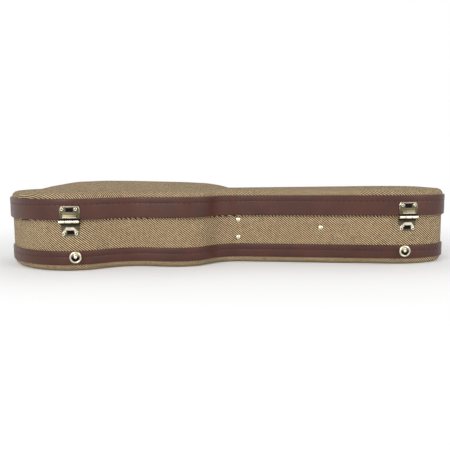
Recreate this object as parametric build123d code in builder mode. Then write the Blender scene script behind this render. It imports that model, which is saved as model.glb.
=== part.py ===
"""A hard ukulele case: figure-eight plan, tweed over plywood, sewn leather bands, arched lid.

Millimetres. +Z is up with the case lying on its bottom, +X runs from the lower bout to the head end,
and -Y is the hinge side. The origin is on the long centre line, at mid length, on the resting face.
"""

import os
from math import asin, atan2, cos, degrees, hypot, radians, sin

from build123d import *

os.makedirs("parts", exist_ok=True)

# Plan outline of the body's outer wall: half widths from the centre line and the arcs' radii
BODY_LENGTH = 672.0
LOWER_BOUT_FROM_END = 111.0
LOWER_BOUT_HALF = 120.0
END_CORNER_INSET = 28.0
WAIST_FROM_END = 205.0
WAIST_HALF = 88.0
WAIST_RADIUS = 76.0
UPPER_BOUT_FROM_END = 270.0
UPPER_BOUT_HALF = 97.0
NECK_FROM_END = 352.0
NECK_HALF = 55.0
NECK_RADIUS = 50.0
HEAD_FROM_HEAD_END = 76.0
HEAD_HALF = 88.0
HEAD_RADIUS = 110.0
HEAD_CORNER_RADIUS = 42.0

# Heights of the shells
SPLIT_HEIGHT = 71.0
BODY_DISH_HEIGHT = 10.5
LID_EDGE_HEIGHT = 40.5
LID_DISH_HEIGHT = 10.5
LID_GAP = 0.3
LID_OVERHANG = 1.0

# Plywood
WALL = 4.5
PANEL = 4.5
EDGE_RADIUS = 9.0

# Arched crown of the lid: (distance from the lower end, inset from the outline, rise)
CROWN_SECTIONS = (
    (36.0, 46.0, 0.8),
    (60.0, 30.0, 6.5),
    (96.0, 20.0, 12.6),
    (141.0, 17.0, 14.2),
    (186.0, 15.0, 13.6),
    (226.0, 15.0, 12.4),
    (270.0, 16.0, 11.0),
    (306.0, 16.0, 9.0),
    (328.0, 18.0, 5.5),
    (344.0, 20.0, 0.8),
)
CROWN_ROOT = 1.5

# Leather bands
LID_BAND_HEIGHT = 32.2
LID_BAND_THICK = 3.2
BODY_BAND_HEIGHT = 22.0
BODY_BAND_THICK = 2.4
BAND_ROUND = 1.1

# Lip and padding
LIP_THICK = 3.0
LIP_CLEARANCE = 0.6
LIP_RISE = 8.0
LIP_DEPTH = 14.0
FOAM_THICK = 8.0
FOAM_GAP = 0.3
FLOOR_PAD = 5.0
LID_PAD = 5.0
PAD_INSET = 5.0

# Walls of the accessory compartment
NECK_WALL_FROM_END = 355.0
NECK_WALL_THICK = 14.0
NECK_WALL_DROP = 1.5
NECK_NOTCH_HALF = 24.0
NECK_NOTCH_DEPTH = 17.0
HEAD_WALL_FROM_HEAD_END = 195.0
HEAD_WALL_THICK = 8.0
HEAD_WALL_DROP = 9.0
HEAD_NOTCH_HALF = 30.0
HEAD_NOTCH_DEPTH = 14.0
WALL_GAP = 0.3

# Flap over the compartment, its hinge rod and its supports
FLAP_TOP = 40.0
FLAP_THICK = 4.4
FLAP_GAP = 0.8
FLAP_AXIS_SETBACK = 4.0
FLAP_BLOCK_WIDTH = 8.0
FLAP_BLOCK_LENGTH = 7.5
FLAP_BLOCK_HEIGHT = 7.0
FLAP_ROD_RADIUS = 1.1
LEDGE_WIDTH = 6.0
LEDGE_THICK = 5.0
TAB_WIDTH = 14.0
TAB_LENGTH = 20.0
TAB_THICK = 1.2

# Rivets that hold the two compartment walls
WALL_RIVET_RADIUS = 4.1
WALL_RIVET_DOME = 1.7
NECK_RIVET_DROPS = (4.3, 30.0)
HEAD_RIVET_DROP = 15.0

# Hinges
HINGE_WIDTH = 28.0
HINGE_REACH = 21.5
HINGE_SHEET = 1.2
BARREL_RADIUS = 2.2
BARREL_GAP = 0.2
HINGE_PIN_RADIUS = 1.1
RUNNING_CLEARANCE = 0.05
KNUCKLE_GAP = 0.25
CENTRE_KNUCKLE = 10.0
RAMP_DROP = 11.0
BOSS_WIDTH = 19.0
BOSS_HEIGHT = 11.5
BOSS_GAP = 0.4
BOSS_RISE = 2.2
BOSS_TAPER = 35.0
LEAF_CORNER = 3.0
HINGE_RIVET_SPREAD = 18.0
HINGE_RIVET_EDGE = 3.6
RIVET_RADIUS = 2.5
RIVET_DOME = 1.2
RIVET_SHANK = 1.25
SEAT_GAP = 0.06
FOOT_FROM_END = 123.0
FOOT_FROM_HEAD_END = 73.0
FOOT_RADIUS = 8.8
FOOT_HEIGHT = 5.5
FOOT_DISH_RADIUS = 5.6
FOOT_DISH_DEPTH = 2.2
FOOT_STUD_RADIUS = 2.2
FOOT_STUD_DOME = 1.1

# Draw latches on the far side
LATCH_WIDTH = 26.0
LATCH_BASE_DROP = 3.5
LATCH_BASE_HEIGHT = 33.5
LATCH_SHEET = 1.2
EAR_SPREAD = 13.4
EAR_RADIUS = 2.9
LEVER_WIDTH = 18.0
LEVER_AXIS_DROP = 9.0
LEVER_AXIS_OUT = 5.0
LEVER_LENGTH = 24.0
LEVER_OUT = 9.6
LEVER_TAB = 5.0
LEVER_CHEEK = 3.2
LEVER_PIN_RADIUS = 1.3
BAIL_AXIS_DROP = 20.0
BAIL_AXIS_OUT = 4.9
BAIL_REACH = 33.0
BAIL_WIRE = 1.1
WIRE_SIDES = 10
BAIL_CORNER = 4.0
BAIL_EYE_CORNER = 1.5
BAIL_SIDE_GAP = 1.2
CATCH_WIDTH = 16.0
CATCH_RISE = 5.5
CATCH_HEIGHT = 22.5
HOOK_CLEARANCE = 0.7
HOOK_LIP = 2.4
LATCH_RIVET_SPREAD = 19.0
CATCH_RIVET_SPREAD = 9.0

# Handle on the far side
HANDLE_FROM_END = 236.0
HANDLE_SPAN = 110.0
HANDLE_AXIS_OUT = 5.0
HANDLE_AXIS_DROP = 17.0
HANDLE_LEAN = 25.0
KNUCKLE_RADIUS = 3.6
KNUCKLE_WIDTH = 7.4
LOOP_WIRE = 1.7
LOOP_INNER = 13.0
LOOP_REACH = 13.0
LOOP_CORNER = 3.4
LOOP_CLEARANCE = 0.12
GRIP_REACH = 27.0
GRIP_RADIUS = 8.0
GRIP_NECK_RADIUS = 5.6
GRIP_SHOULDER = 14.0
GRIP_TURN = 2.0
GRIP_DROP = 4.0
GRIP_BEND = 6.0
BRACKET_WIDTH = 17.0
BRACKET_HEIGHT = 27.0
BRACKET_SHEET = 1.4
BRACKET_RIVET_SPREAD = 19.5

# Values that follow from the sizes above
LEFT_END = -BODY_LENGTH / 2
RIGHT_END = BODY_LENGTH / 2
LOWER_BOUT_X = LEFT_END + LOWER_BOUT_FROM_END
END_CORNER_RADIUS = LOWER_BOUT_HALF - END_CORNER_INSET
WAIST_X = LEFT_END + WAIST_FROM_END
UPPER_BOUT_X = LEFT_END + UPPER_BOUT_FROM_END
NECK_X = LEFT_END + NECK_FROM_END
HEAD_X = RIGHT_END - HEAD_FROM_HEAD_END
NECK_WALL_X = LEFT_END + NECK_WALL_FROM_END
HEAD_WALL_X = RIGHT_END - HEAD_WALL_FROM_HEAD_END
NECK_RIVET_HEIGHTS = tuple(SPLIT_HEIGHT - drop for drop in NECK_RIVET_DROPS)
HEAD_RIVET_HEIGHT = SPLIT_HEIGHT - HEAD_RIVET_DROP
FOOT_X = (LEFT_END + FOOT_FROM_END, RIGHT_END - FOOT_FROM_HEAD_END)
LATCH_BASE_HIGH = SPLIT_HEIGHT - LATCH_BASE_DROP
LATCH_BASE_LOW = LATCH_BASE_HIGH - LATCH_BASE_HEIGHT
LEVER_AXIS_HEIGHT = SPLIT_HEIGHT - LEVER_AXIS_DROP
BAIL_AXIS_HEIGHT = SPLIT_HEIGHT - BAIL_AXIS_DROP
CATCH_LOW = SPLIT_HEIGHT + CATCH_RISE
CATCH_HIGH = CATCH_LOW + CATCH_HEIGHT
HANDLE_X = LEFT_END + HANDLE_FROM_END
HANDLE_AXIS_Y = UPPER_BOUT_HALF + HANDLE_AXIS_OUT
HANDLE_AXIS_HEIGHT = SPLIT_HEIGHT - HANDLE_AXIS_DROP
LID_BASE = SPLIT_HEIGHT + LID_GAP
LID_TOP = SPLIT_HEIGHT + LID_EDGE_HEIGHT
LID_JOINT = LID_TOP - LID_DISH_HEIGHT
LID_FACE = LID_OVERHANG + LID_BAND_THICK
LID_INNER = LIP_CLEARANCE - WALL
HINGE_OUT = LID_FACE + BARREL_GAP + BARREL_RADIUS
INSIDE = -(WALL + FOAM_GAP + FOAM_THICK)
FLOOR_TOP = PANEL + FLOOR_PAD


def joined_radii(run, drop):
    """Sum of the radii of a round and a hollow arc that meet, from the run and drop between their tops."""
    return (run * run + drop * drop) / (2 * drop)


def outline_arcs():
    """Arcs of the half outline from left to right, as (centre, radius, start, end, 1 round or -1 hollow)."""
    corner = Vector(LOWER_BOUT_X, LOWER_BOUT_HALF - END_CORNER_RADIUS)
    reach = corner.X - LEFT_END
    end_radius = (reach**2 + corner.Y**2 - END_CORNER_RADIUS**2) / (2 * (reach - END_CORNER_RADIUS))
    end = Vector(LEFT_END + end_radius, 0)
    turn = degrees(atan2(corner.Y - end.Y, corner.X - end.X))

    waist = Vector(WAIST_X, WAIST_HALF + WAIST_RADIUS)
    shoulder_radius = joined_radii(WAIST_X - LOWER_BOUT_X, LOWER_BOUT_HALF - WAIST_HALF) - WAIST_RADIUS
    shoulder = Vector(LOWER_BOUT_X, LOWER_BOUT_HALF - shoulder_radius)
    into_waist = degrees(atan2(waist.Y - shoulder.Y, waist.X - shoulder.X))

    upper_radius = joined_radii(UPPER_BOUT_X - WAIST_X, UPPER_BOUT_HALF - WAIST_HALF) - WAIST_RADIUS
    upper = Vector(UPPER_BOUT_X, UPPER_BOUT_HALF - upper_radius)
    out_of_waist = degrees(atan2(waist.Y - upper.Y, waist.X - upper.X))

    neck = Vector(NECK_X, NECK_HALF + NECK_RADIUS)
    bout_end_radius = joined_radii(NECK_X - UPPER_BOUT_X, UPPER_BOUT_HALF - NECK_HALF) - NECK_RADIUS
    bout_end = Vector(UPPER_BOUT_X, UPPER_BOUT_HALF - bout_end_radius)
    into_neck = degrees(atan2(neck.Y - bout_end.Y, neck.X - bout_end.X))

    head = Vector(HEAD_X, HEAD_HALF - HEAD_RADIUS)
    span = head - neck
    flare = degrees(atan2(span.Y, span.X) + asin((NECK_RADIUS + HEAD_RADIUS) / hypot(span.X, span.Y)))
    step = RIGHT_END - HEAD_CORNER_RADIUS - HEAD_X
    rise = ((HEAD_RADIUS - HEAD_CORNER_RADIUS) ** 2 - step**2) ** 0.5
    head_corner = head + Vector(step, rise)
    head_turn = degrees(atan2(rise, step))
    return (
        (end, end_radius, 180, turn, 1),
        (corner, END_CORNER_RADIUS, turn, 90, 1),
        (shoulder, shoulder_radius, 90, into_waist, 1),
        (waist, WAIST_RADIUS, into_waist + 180, 270, -1),
        (waist, WAIST_RADIUS, 270, out_of_waist + 180, -1),
        (upper, upper_radius, out_of_waist, 90, 1),
        (bout_end, bout_end_radius, 90, into_neck, 1),
        (neck, NECK_RADIUS, into_neck + 180, 270 + flare, -1),
        (head, HEAD_RADIUS, 90 + flare, head_turn, 1),
        (head_corner, HEAD_CORNER_RADIUS, head_turn, 0, 1),
    )


def on_circle(centre, radius, angle):
    """The point of a circle at an angle in degrees."""
    return centre + Vector(radius * cos(radians(angle)), radius * sin(radians(angle)))


def half_width(x, grow=0.0):
    """Half width of the outline, moved out by grow, at a place along the case."""
    arcs = outline_arcs()
    for centre, radius, start, end, sign in arcs:
        r = radius + sign * grow
        first = on_circle(centre, r, start).X
        last = on_circle(centre, r, end).X
        if first <= x <= last:
            return centre.Y + sign * (r * r - (x - centre.X) ** 2) ** 0.5
    start = on_circle(arcs[7][0], NECK_RADIUS - grow, arcs[7][3])
    end = on_circle(arcs[8][0], HEAD_RADIUS + grow, arcs[8][2])
    return start.Y + (end.Y - start.Y) * (x - start.X) / (end.X - start.X)


def case_outline(height, grow=0.0):
    """The closed plan outline as a face at a height, moved outwards by grow."""
    with BuildSketch(Plane.XY.offset(height)) as plan:
        with BuildLine():
            last = None
            for centre, radius, start, end, sign in outline_arcs():
                r = radius + sign * grow
                first = on_circle(centre, r, start)
                if last is not None and (first - last).length > 0.01:
                    Line(last, first)
                last = on_circle(centre, r, end)
                ThreePointArc(first, on_circle(centre, r, (start + end) / 2), last)
            Line(last, (last.X, 0))
            mirror(about=Plane.XZ)
        make_face()
    return plan.sketch


def touch_places():
    """Where one straight line touches the lower bout and the head: the places of the two hinges."""
    arcs = outline_arcs()
    shoulder, shoulder_radius = arcs[2][0], arcs[2][1]
    head, head_radius = arcs[8][0], arcs[8][1]
    span = head - shoulder
    lean = atan2(span.Y, span.X) - asin((shoulder_radius - head_radius) / hypot(span.X, span.Y))
    normal = degrees(lean) + 90
    return on_circle(shoulder, shoulder_radius, normal).X, on_circle(head, head_radius, normal).X


LOWER_HINGE_X, HEAD_HINGE_X = touch_places()
SIDES = {"left": LOWER_HINGE_X, "right": HEAD_HINGE_X}


def wall_frame(x, far):
    """Point on the body's wall at a place along it, and the wall's outward direction there."""
    step = 0.01
    slope = atan2(half_width(x + step) - half_width(x - step), 2 * step)
    side = 1 if far else -1
    return Vector(x, side * half_width(x)), Vector(-sin(slope), side * cos(slope))


def face_plane(x, far, height, out=0.0):
    """Plane lying along the wall: x runs along the wall, y goes up, z points outwards."""
    point, normal = wall_frame(x, far)
    origin = point + normal * out + Vector(0, 0, height)
    return Plane(origin=origin, x_dir=(-normal.Y, normal.X, 0), z_dir=normal)


def side_plane(x, far, height, out=0.0, along=0.0):
    """Plane cutting across the wall: x points outwards, y goes up."""
    point, normal = wall_frame(x, far)
    run = Vector(-normal.Y, normal.X, 0)
    origin = point + normal * out + run * along + Vector(0, 0, height)
    return Plane(origin=origin, x_dir=normal, z_dir=(normal.Y, -normal.X, 0))


def save(piece, name):
    """Names a finished piece and writes it."""
    piece.part.label = name
    export_step(piece.part, f"parts/{name}.step")


def disc(plane, radius):
    """A round face on a plane."""
    with BuildSketch(plane) as face:
        Circle(radius)
    return face.sketch


def block(plane, width, height, thick, corner=0.0):
    """Adds a rectangular plate standing out from a plane, with rounded corners if asked."""
    with BuildSketch(plane) as face:
        if corner:
            RectangleRounded(width, height, corner)
        else:
            Rectangle(width, height)
    extrude(face.sketch, amount=thick)


def cut_back(low, high, out):
    """Takes away what lies inside the wall moved out by out, so that the piece seats on it."""
    extrude(case_outline(low, out), amount=high - low, mode=Mode.SUBTRACT)


def keep_within(low, high, out):
    """Keeps only what lies inside the wall moved out by out."""
    extrude(case_outline(low, out), amount=high - low, mode=Mode.INTERSECT)


def band(low, high, outer, inner, round_edges=0.0):
    """A ring that follows the outline between two heights and two distances from it."""
    with BuildPart() as ring:
        extrude(case_outline(low, outer), amount=high - low)
        if round_edges:
            levels = ring.edges().group_by(Axis.Z)
            chamfer(levels[0] + levels[-1], round_edges)
        extrude(case_outline(low, inner), amount=high - low, mode=Mode.SUBTRACT)
    return ring


def make_bottom_panel():
    """Bottom of the case, a shallow dish with a rounded edge."""
    with BuildPart() as bottom_panel:
        extrude(case_outline(0), amount=BODY_DISH_HEIGHT)
        fillet(bottom_panel.edges().group_by(Axis.Z)[0], EDGE_RADIUS)
        extrude(case_outline(PANEL, -WALL), amount=BODY_DISH_HEIGHT, mode=Mode.SUBTRACT)
    save(bottom_panel, "bottom_panel")


def crown(lower, narrower):
    """The arched crown as a loft of arcs across the case, lowered and narrowed by the given amounts."""
    with BuildPart() as arch:
        for from_end, inset, rise in CROWN_SECTIONS:
            place = LEFT_END + from_end
            half = half_width(place) - inset - narrower
            with BuildSketch(Plane.YZ.offset(place)):
                with BuildLine():
                    base = LID_TOP - CROWN_ROOT - lower
                    Line((-half, base), (half, base))
                    ThreePointArc((half, base), (0, LID_TOP + rise - lower), (-half, base))
                make_face()
        loft()
    return arch.part


def make_lid_panel():
    """Top of the lid, a shallow dish with a rounded edge and the arched crown over the bouts."""
    outer_crown = crown(0, 0)
    inner_crown = crown(PANEL, PANEL)
    with BuildPart() as lid_panel:
        extrude(case_outline(LID_JOINT, LID_OVERHANG), amount=LID_DISH_HEIGHT)
        fillet(lid_panel.edges().group_by(Axis.Z)[-1], EDGE_RADIUS)
        add(outer_crown)
        extrude(case_outline(LID_JOINT, LID_INNER), amount=LID_DISH_HEIGHT - PANEL, mode=Mode.SUBTRACT)
        add(inner_crown, mode=Mode.SUBTRACT)
    save(lid_panel, "lid_panel")


def save_strips(ring, name):
    """Cuts a ring into the four strips that it is bent from, butted at the waist and the head, and writes them."""
    left, right = LEFT_END - LID_FACE, RIGHT_END + LID_FACE
    half = LOWER_BOUT_HALF + LID_FACE
    strips = {
        "lower_end": (left, WAIST_X, -half, half),
        "hinge_side": (WAIST_X, HEAD_WALL_X, -half, 0),
        "latch_side": (WAIST_X, HEAD_WALL_X, 0, half),
        "head_end": (HEAD_WALL_X, right, -half, half),
    }
    for place, (start, end, low, high) in strips.items():
        with BuildPart() as strip:
            add(ring.part)
            with Locations(((start + end) / 2, (low + high) / 2, SPLIT_HEIGHT)):
                Box(end - start, high - low, 2 * LID_TOP, mode=Mode.INTERSECT)
        save(strip, f"{name}_{place}")


def make_walls():
    """Side walls of the tray and the lid, the lip between them and the leather bands round them."""
    save(band(BODY_DISH_HEIGHT, SPLIT_HEIGHT, 0, -WALL), "body_rim")
    save_strips(band(LID_BASE, LID_JOINT, LID_OVERHANG, LID_INNER), "lid_rim")
    lip_low = SPLIT_HEIGHT - LIP_DEPTH
    save(band(lip_low, SPLIT_HEIGHT + LIP_RISE, -WALL, -WALL - LIP_THICK), "locating_lip")
    band_top = EDGE_RADIUS + BODY_BAND_HEIGHT
    save(band(EDGE_RADIUS, band_top, BODY_BAND_THICK, 0, BAND_ROUND), "body_binding")
    save(band(LID_BASE, LID_BASE + LID_BAND_HEIGHT, LID_FACE, LID_OVERHANG, BAND_ROUND), "lid_binding")


def make_padding():
    """Foam round the inside of the tray and pads on the floor and under the lid."""
    foam_top = SPLIT_HEIGHT - LIP_DEPTH - FOAM_GAP
    foam_low = FLOOR_TOP + FOAM_GAP
    save_strips(band(foam_low, foam_top, -WALL - FOAM_GAP, INSIDE), "body_foam")
    with BuildPart() as floor_pad:
        extrude(case_outline(PANEL, -WALL - PAD_INSET), amount=FLOOR_PAD)
    save(floor_pad, "floor_pad")
    with BuildPart() as lid_pad:
        extrude(case_outline(LID_TOP - PANEL - LID_PAD, LID_INNER - PAD_INSET), amount=LID_PAD)
    save(lid_pad, "lid_pad")


def cross_wall(place, thick, high, notch_half, notch_depth):
    """A wall across the tray with a round-bottomed notch in its top for the neck."""
    low = FLOOR_TOP + WALL_GAP
    with BuildPart() as wall:
        with Locations((place, 0, (low + high) / 2)):
            Box(thick, 2 * LOWER_BOUT_HALF, high - low)
        keep_within(low, high, INSIDE - WALL_GAP)
        with BuildSketch(Plane.YZ.offset(place)):
            with Locations((0, high)):
                RectangleRounded(2 * notch_half, 2 * notch_depth, notch_depth - 1)
        extrude(amount=thick, both=True, mode=Mode.SUBTRACT)
    return wall


def make_compartment():
    """The two cross walls, and the hinged flap over the accessory compartment between them."""
    neck_top = SPLIT_HEIGHT - NECK_WALL_DROP
    save(cross_wall(NECK_WALL_X, NECK_WALL_THICK, neck_top, NECK_NOTCH_HALF, NECK_NOTCH_DEPTH), "neck_wall")
    head_top = SPLIT_HEIGHT - HEAD_WALL_DROP
    save(cross_wall(HEAD_WALL_X, HEAD_WALL_THICK, head_top, HEAD_NOTCH_HALF, HEAD_NOTCH_DEPTH), "head_wall")

    near_face = NECK_WALL_X + NECK_WALL_THICK / 2
    far_face = HEAD_WALL_X - HEAD_WALL_THICK / 2
    axis_x = far_face - FLAP_AXIS_SETBACK
    axis_z = FLAP_TOP - FLAP_THICK / 2
    reach = INSIDE - FLAP_GAP
    axis_half = half_width(axis_x, reach)
    block_y = axis_half - FLAP_BLOCK_WIDTH / 2
    rod_length = 2 * axis_half - FLAP_BLOCK_WIDTH

    with BuildPart() as compartment_lid:
        extrude(case_outline(FLAP_TOP - FLAP_THICK, reach), amount=FLAP_THICK)
        front = near_face + FLAP_GAP
        back = axis_x + FLAP_THICK / 2
        with Locations(((front + back) / 2, 0, axis_z)):
            Box(back - front, 2 * LOWER_BOUT_HALF, FLAP_THICK, mode=Mode.INTERSECT)
        fillet(compartment_lid.edges().filter_by(Axis.Y).group_by(Axis.X)[-1], FLAP_THICK / 2 - 0.01)
        notch = FLAP_BLOCK_LENGTH + 2 * FLAP_GAP
        with Locations((far_face - notch / 2, block_y, axis_z), (far_face - notch / 2, -block_y, axis_z)):
            Box(notch, FLAP_BLOCK_WIDTH + 2 * FLAP_GAP, 2 * FLAP_THICK, mode=Mode.SUBTRACT)
        with Locations(Location((axis_x, 0, axis_z), (90, 0, 0))):
            Cylinder(FLAP_ROD_RADIUS + RUNNING_CLEARANCE, rod_length, mode=Mode.SUBTRACT)
    save(compartment_lid, "compartment_lid")

    with BuildPart() as flap_rod:
        with Locations(Location((axis_x, 0, axis_z), (90, 0, 0))):
            Cylinder(FLAP_ROD_RADIUS, rod_length)
    save(flap_rod, "flap_hinge_rod")

    with BuildPart() as flap_blocks:
        middle = far_face - FLAP_BLOCK_LENGTH / 2
        with Locations((middle, block_y, axis_z), (middle, -block_y, axis_z)):
            Box(FLAP_BLOCK_LENGTH, FLAP_BLOCK_WIDTH, FLAP_BLOCK_HEIGHT)
        with Locations(Location((axis_x, 0, axis_z), (90, 0, 0))):
            Cylinder(FLAP_ROD_RADIUS, rod_length, mode=Mode.SUBTRACT)
    save(flap_blocks, "flap_hinge_blocks")

    ledge_half = half_width(near_face, reach) - FLAP_GAP
    with BuildPart() as flap_ledge:
        with Locations((near_face + LEDGE_WIDTH / 2, 0, FLAP_TOP - FLAP_THICK - WALL_GAP - LEDGE_THICK / 2)):
            Box(LEDGE_WIDTH, 2 * ledge_half, LEDGE_THICK)
        chamfer(flap_ledge.edges().filter_by(Axis.Y).group_by(Axis.Z)[0].sort_by(Axis.X)[-1], LEDGE_THICK / 2)
    save(flap_ledge, "compartment_ledge")

    with BuildPart() as pull_tab:
        with BuildSketch(Plane.XY.offset(FLAP_TOP)):
            with Locations((front + TAB_LENGTH / 2 + FLAP_GAP, 0)):
                RectangleRounded(TAB_LENGTH, TAB_WIDTH, TAB_WIDTH / 2 - 0.5)
        extrude(amount=TAB_THICK)
    save(pull_tab, "pull_tab")


def wall_rivet(x, far, height):
    """A domed rivet head seated on the tweed wall."""
    with BuildPart() as head:
        with BuildSketch(face_plane(x, far, height, -1)):
            Circle(WALL_RIVET_RADIUS)
        extrude(amount=1.4)
        with BuildSketch(face_plane(x, far, height, 0.4)):
            Circle(WALL_RIVET_RADIUS)
        extrude(amount=WALL_RIVET_DOME, taper=45)
        cut_back(height - 2 * WALL_RIVET_RADIUS, height + 2 * WALL_RIVET_RADIUS, 0)
    return head.part


def make_wall_rivets():
    """Rivets of both cross walls, on both sides of the case."""
    with BuildPart() as compartment_rivets:
        for far in (False, True):
            for height in NECK_RIVET_HEIGHTS:
                add(wall_rivet(NECK_WALL_X, far, height))
            add(wall_rivet(HEAD_WALL_X, far, HEAD_RIVET_HEIGHT))
    save(compartment_rivets, "compartment_rivets")


def rivet(plane, seat):
    """A small domed rivet: its head starts at the seat above the plane, its shank goes down to the plane."""
    with BuildPart() as fastener:
        with BuildSketch(plane):
            Circle(RIVET_SHANK)
        extrude(amount=seat)
        with BuildSketch(plane.offset(seat)):
            Circle(RIVET_RADIUS)
        extrude(amount=RIVET_DOME, taper=40)
    return fastener.part


def barrel(x, height, along, width):
    """One solid knuckle of a case hinge, before its bore."""
    extrude(disc(side_plane(x, False, height, HINGE_OUT, along), BARREL_RADIUS), amount=width / 2, both=True)


def bore(x, height):
    """The bore through all knuckles of a case hinge."""
    hole = disc(side_plane(x, False, height, HINGE_OUT), HINGE_PIN_RADIUS + RUNNING_CLEARANCE)
    extrude(hole, amount=HINGE_WIDTH, both=True, mode=Mode.SUBTRACT)


def rivet_places(x, height, out, spread):
    """Planes of a pair of rivets, side by side on the hinge side."""
    places = []
    for shift in (-spread / 2, spread / 2):
        point, normal = wall_frame(x, False)
        seat_x = point.X - normal.Y * shift
        places.append(face_plane(seat_x, False, height, out))
    return places


def outer_knuckles():
    """Middle and width of the two outer knuckles of a case hinge."""
    width = (HINGE_WIDTH - CENTRE_KNUCKLE) / 2 - KNUCKLE_GAP
    middle = (HINGE_WIDTH - width) / 2
    return middle, width


def make_lid_leaf(x):
    """Upper hinge leaf, bent to the lid's leather band, with a raised middle and two knuckles."""
    low = SPLIT_HEIGHT + BARREL_RADIUS + KNUCKLE_GAP
    high = SPLIT_HEIGHT + HINGE_REACH
    middle, width = outer_knuckles()
    with BuildPart() as leaf:
        block(face_plane(x, False, (low + high) / 2, 0), HINGE_WIDTH, high - low, 2 * HINGE_OUT)
        for side in (-1, 1):
            block(side_plane(x, False, (SPLIT_HEIGHT + low) / 2, LID_FACE + HINGE_SHEET / 2, side * middle)
                  .offset(-width / 2), HINGE_SHEET, low - SPLIT_HEIGHT + 2, width)
        keep_within(0, 2 * LID_TOP, LID_FACE + HINGE_SHEET)
        with BuildSketch(face_plane(x, False, low + BOSS_HEIGHT / 2 + 0.5, LID_FACE + HINGE_SHEET / 2)):
            RectangleRounded(BOSS_WIDTH, BOSS_HEIGHT, 1)
        extrude(amount=BOSS_RISE + HINGE_SHEET / 2, taper=BOSS_TAPER)
        cut_back(0, 2 * LID_TOP, LID_FACE)
        for side in (-1, 1):
            barrel(x, SPLIT_HEIGHT, side * middle, width)
        bore(x, SPLIT_HEIGHT)
        for plane in rivet_places(x, high - HINGE_RIVET_EDGE, LID_FACE - 1, HINGE_RIVET_SPREAD):
            with BuildSketch(plane):
                Circle(RIVET_SHANK)
            extrude(amount=HINGE_SHEET + 2, mode=Mode.SUBTRACT)
    return leaf


def make_body_leaf(x):
    """Lower hinge leaf, on the tweed wall, with a ramp out to the centre knuckle."""
    low = SPLIT_HEIGHT - HINGE_REACH
    ramp_low = SPLIT_HEIGHT - RAMP_DROP
    ramp_high = SPLIT_HEIGHT - BARREL_RADIUS - KNUCKLE_GAP
    with BuildPart() as leaf:
        block(face_plane(x, False, (low + ramp_low) / 2, -3), HINGE_WIDTH, ramp_low - low, 2 * HINGE_OUT)
        keep_within(0, 2 * LID_TOP, HINGE_SHEET)
        with BuildSketch(side_plane(x, False, 0)):
            with BuildLine():
                Polyline(
                    (-3, ramp_low),
                    (HINGE_SHEET, ramp_low),
                    (HINGE_OUT, ramp_high - HINGE_SHEET),
                    (HINGE_OUT, ramp_high),
                    (HINGE_OUT - HINGE_SHEET, ramp_high),
                    (-3, ramp_low + HINGE_SHEET),
                    close=True,
                )
            make_face()
        extrude(amount=HINGE_WIDTH / 2, both=True)
        with BuildSketch(side_plane(x, False, (ramp_high + SPLIT_HEIGHT) / 2, HINGE_OUT - HINGE_SHEET / 2)):
            Rectangle(HINGE_SHEET, SPLIT_HEIGHT - ramp_high + HINGE_SHEET)
        extrude(amount=CENTRE_KNUCKLE / 2, both=True)
        boss_low = low + HINGE_RIVET_EDGE + RIVET_RADIUS + BOSS_GAP
        with BuildSketch(face_plane(x, False, boss_low + BOSS_HEIGHT / 2, HINGE_SHEET / 2)):
            RectangleRounded(BOSS_WIDTH, BOSS_HEIGHT, 1)
        extrude(amount=BOSS_RISE + HINGE_SHEET / 2, taper=BOSS_TAPER)
        cut_back(0, 2 * LID_TOP, 0)
        barrel(x, SPLIT_HEIGHT, 0, CENTRE_KNUCKLE)
        bore(x, SPLIT_HEIGHT)
        for plane in rivet_places(x, low + HINGE_RIVET_EDGE, -1, HINGE_RIVET_SPREAD):
            with BuildSketch(plane):
                Circle(RIVET_SHANK)
            extrude(amount=HINGE_SHEET + 2, mode=Mode.SUBTRACT)
    return leaf


def make_hinges():
    """Both case hinges with their pins and rivets."""
    for side, x in SIDES.items():
        save(make_lid_leaf(x), f"hinge_{side}_lid_leaf")
        save(make_body_leaf(x), f"hinge_{side}_body_leaf")
        with BuildPart() as pin:
            with BuildSketch(side_plane(x, False, SPLIT_HEIGHT, HINGE_OUT)):
                Circle(HINGE_PIN_RADIUS)
            extrude(amount=HINGE_WIDTH / 2, both=True)
        save(pin, f"hinge_{side}_pin")
    rivet_sets = {
        "hinge_lid_rivets": (SPLIT_HEIGHT + HINGE_REACH - HINGE_RIVET_EDGE, LID_FACE),
        "hinge_body_rivets": (SPLIT_HEIGHT - HINGE_REACH + HINGE_RIVET_EDGE, 0),
    }
    for name, (height, out) in rivet_sets.items():
        with BuildPart() as rivets:
            for x in SIDES.values():
                for plane in rivet_places(x, height, out, HINGE_RIVET_SPREAD):
                    add(rivet(plane, HINGE_SHEET))
        save(rivets, name)


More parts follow.
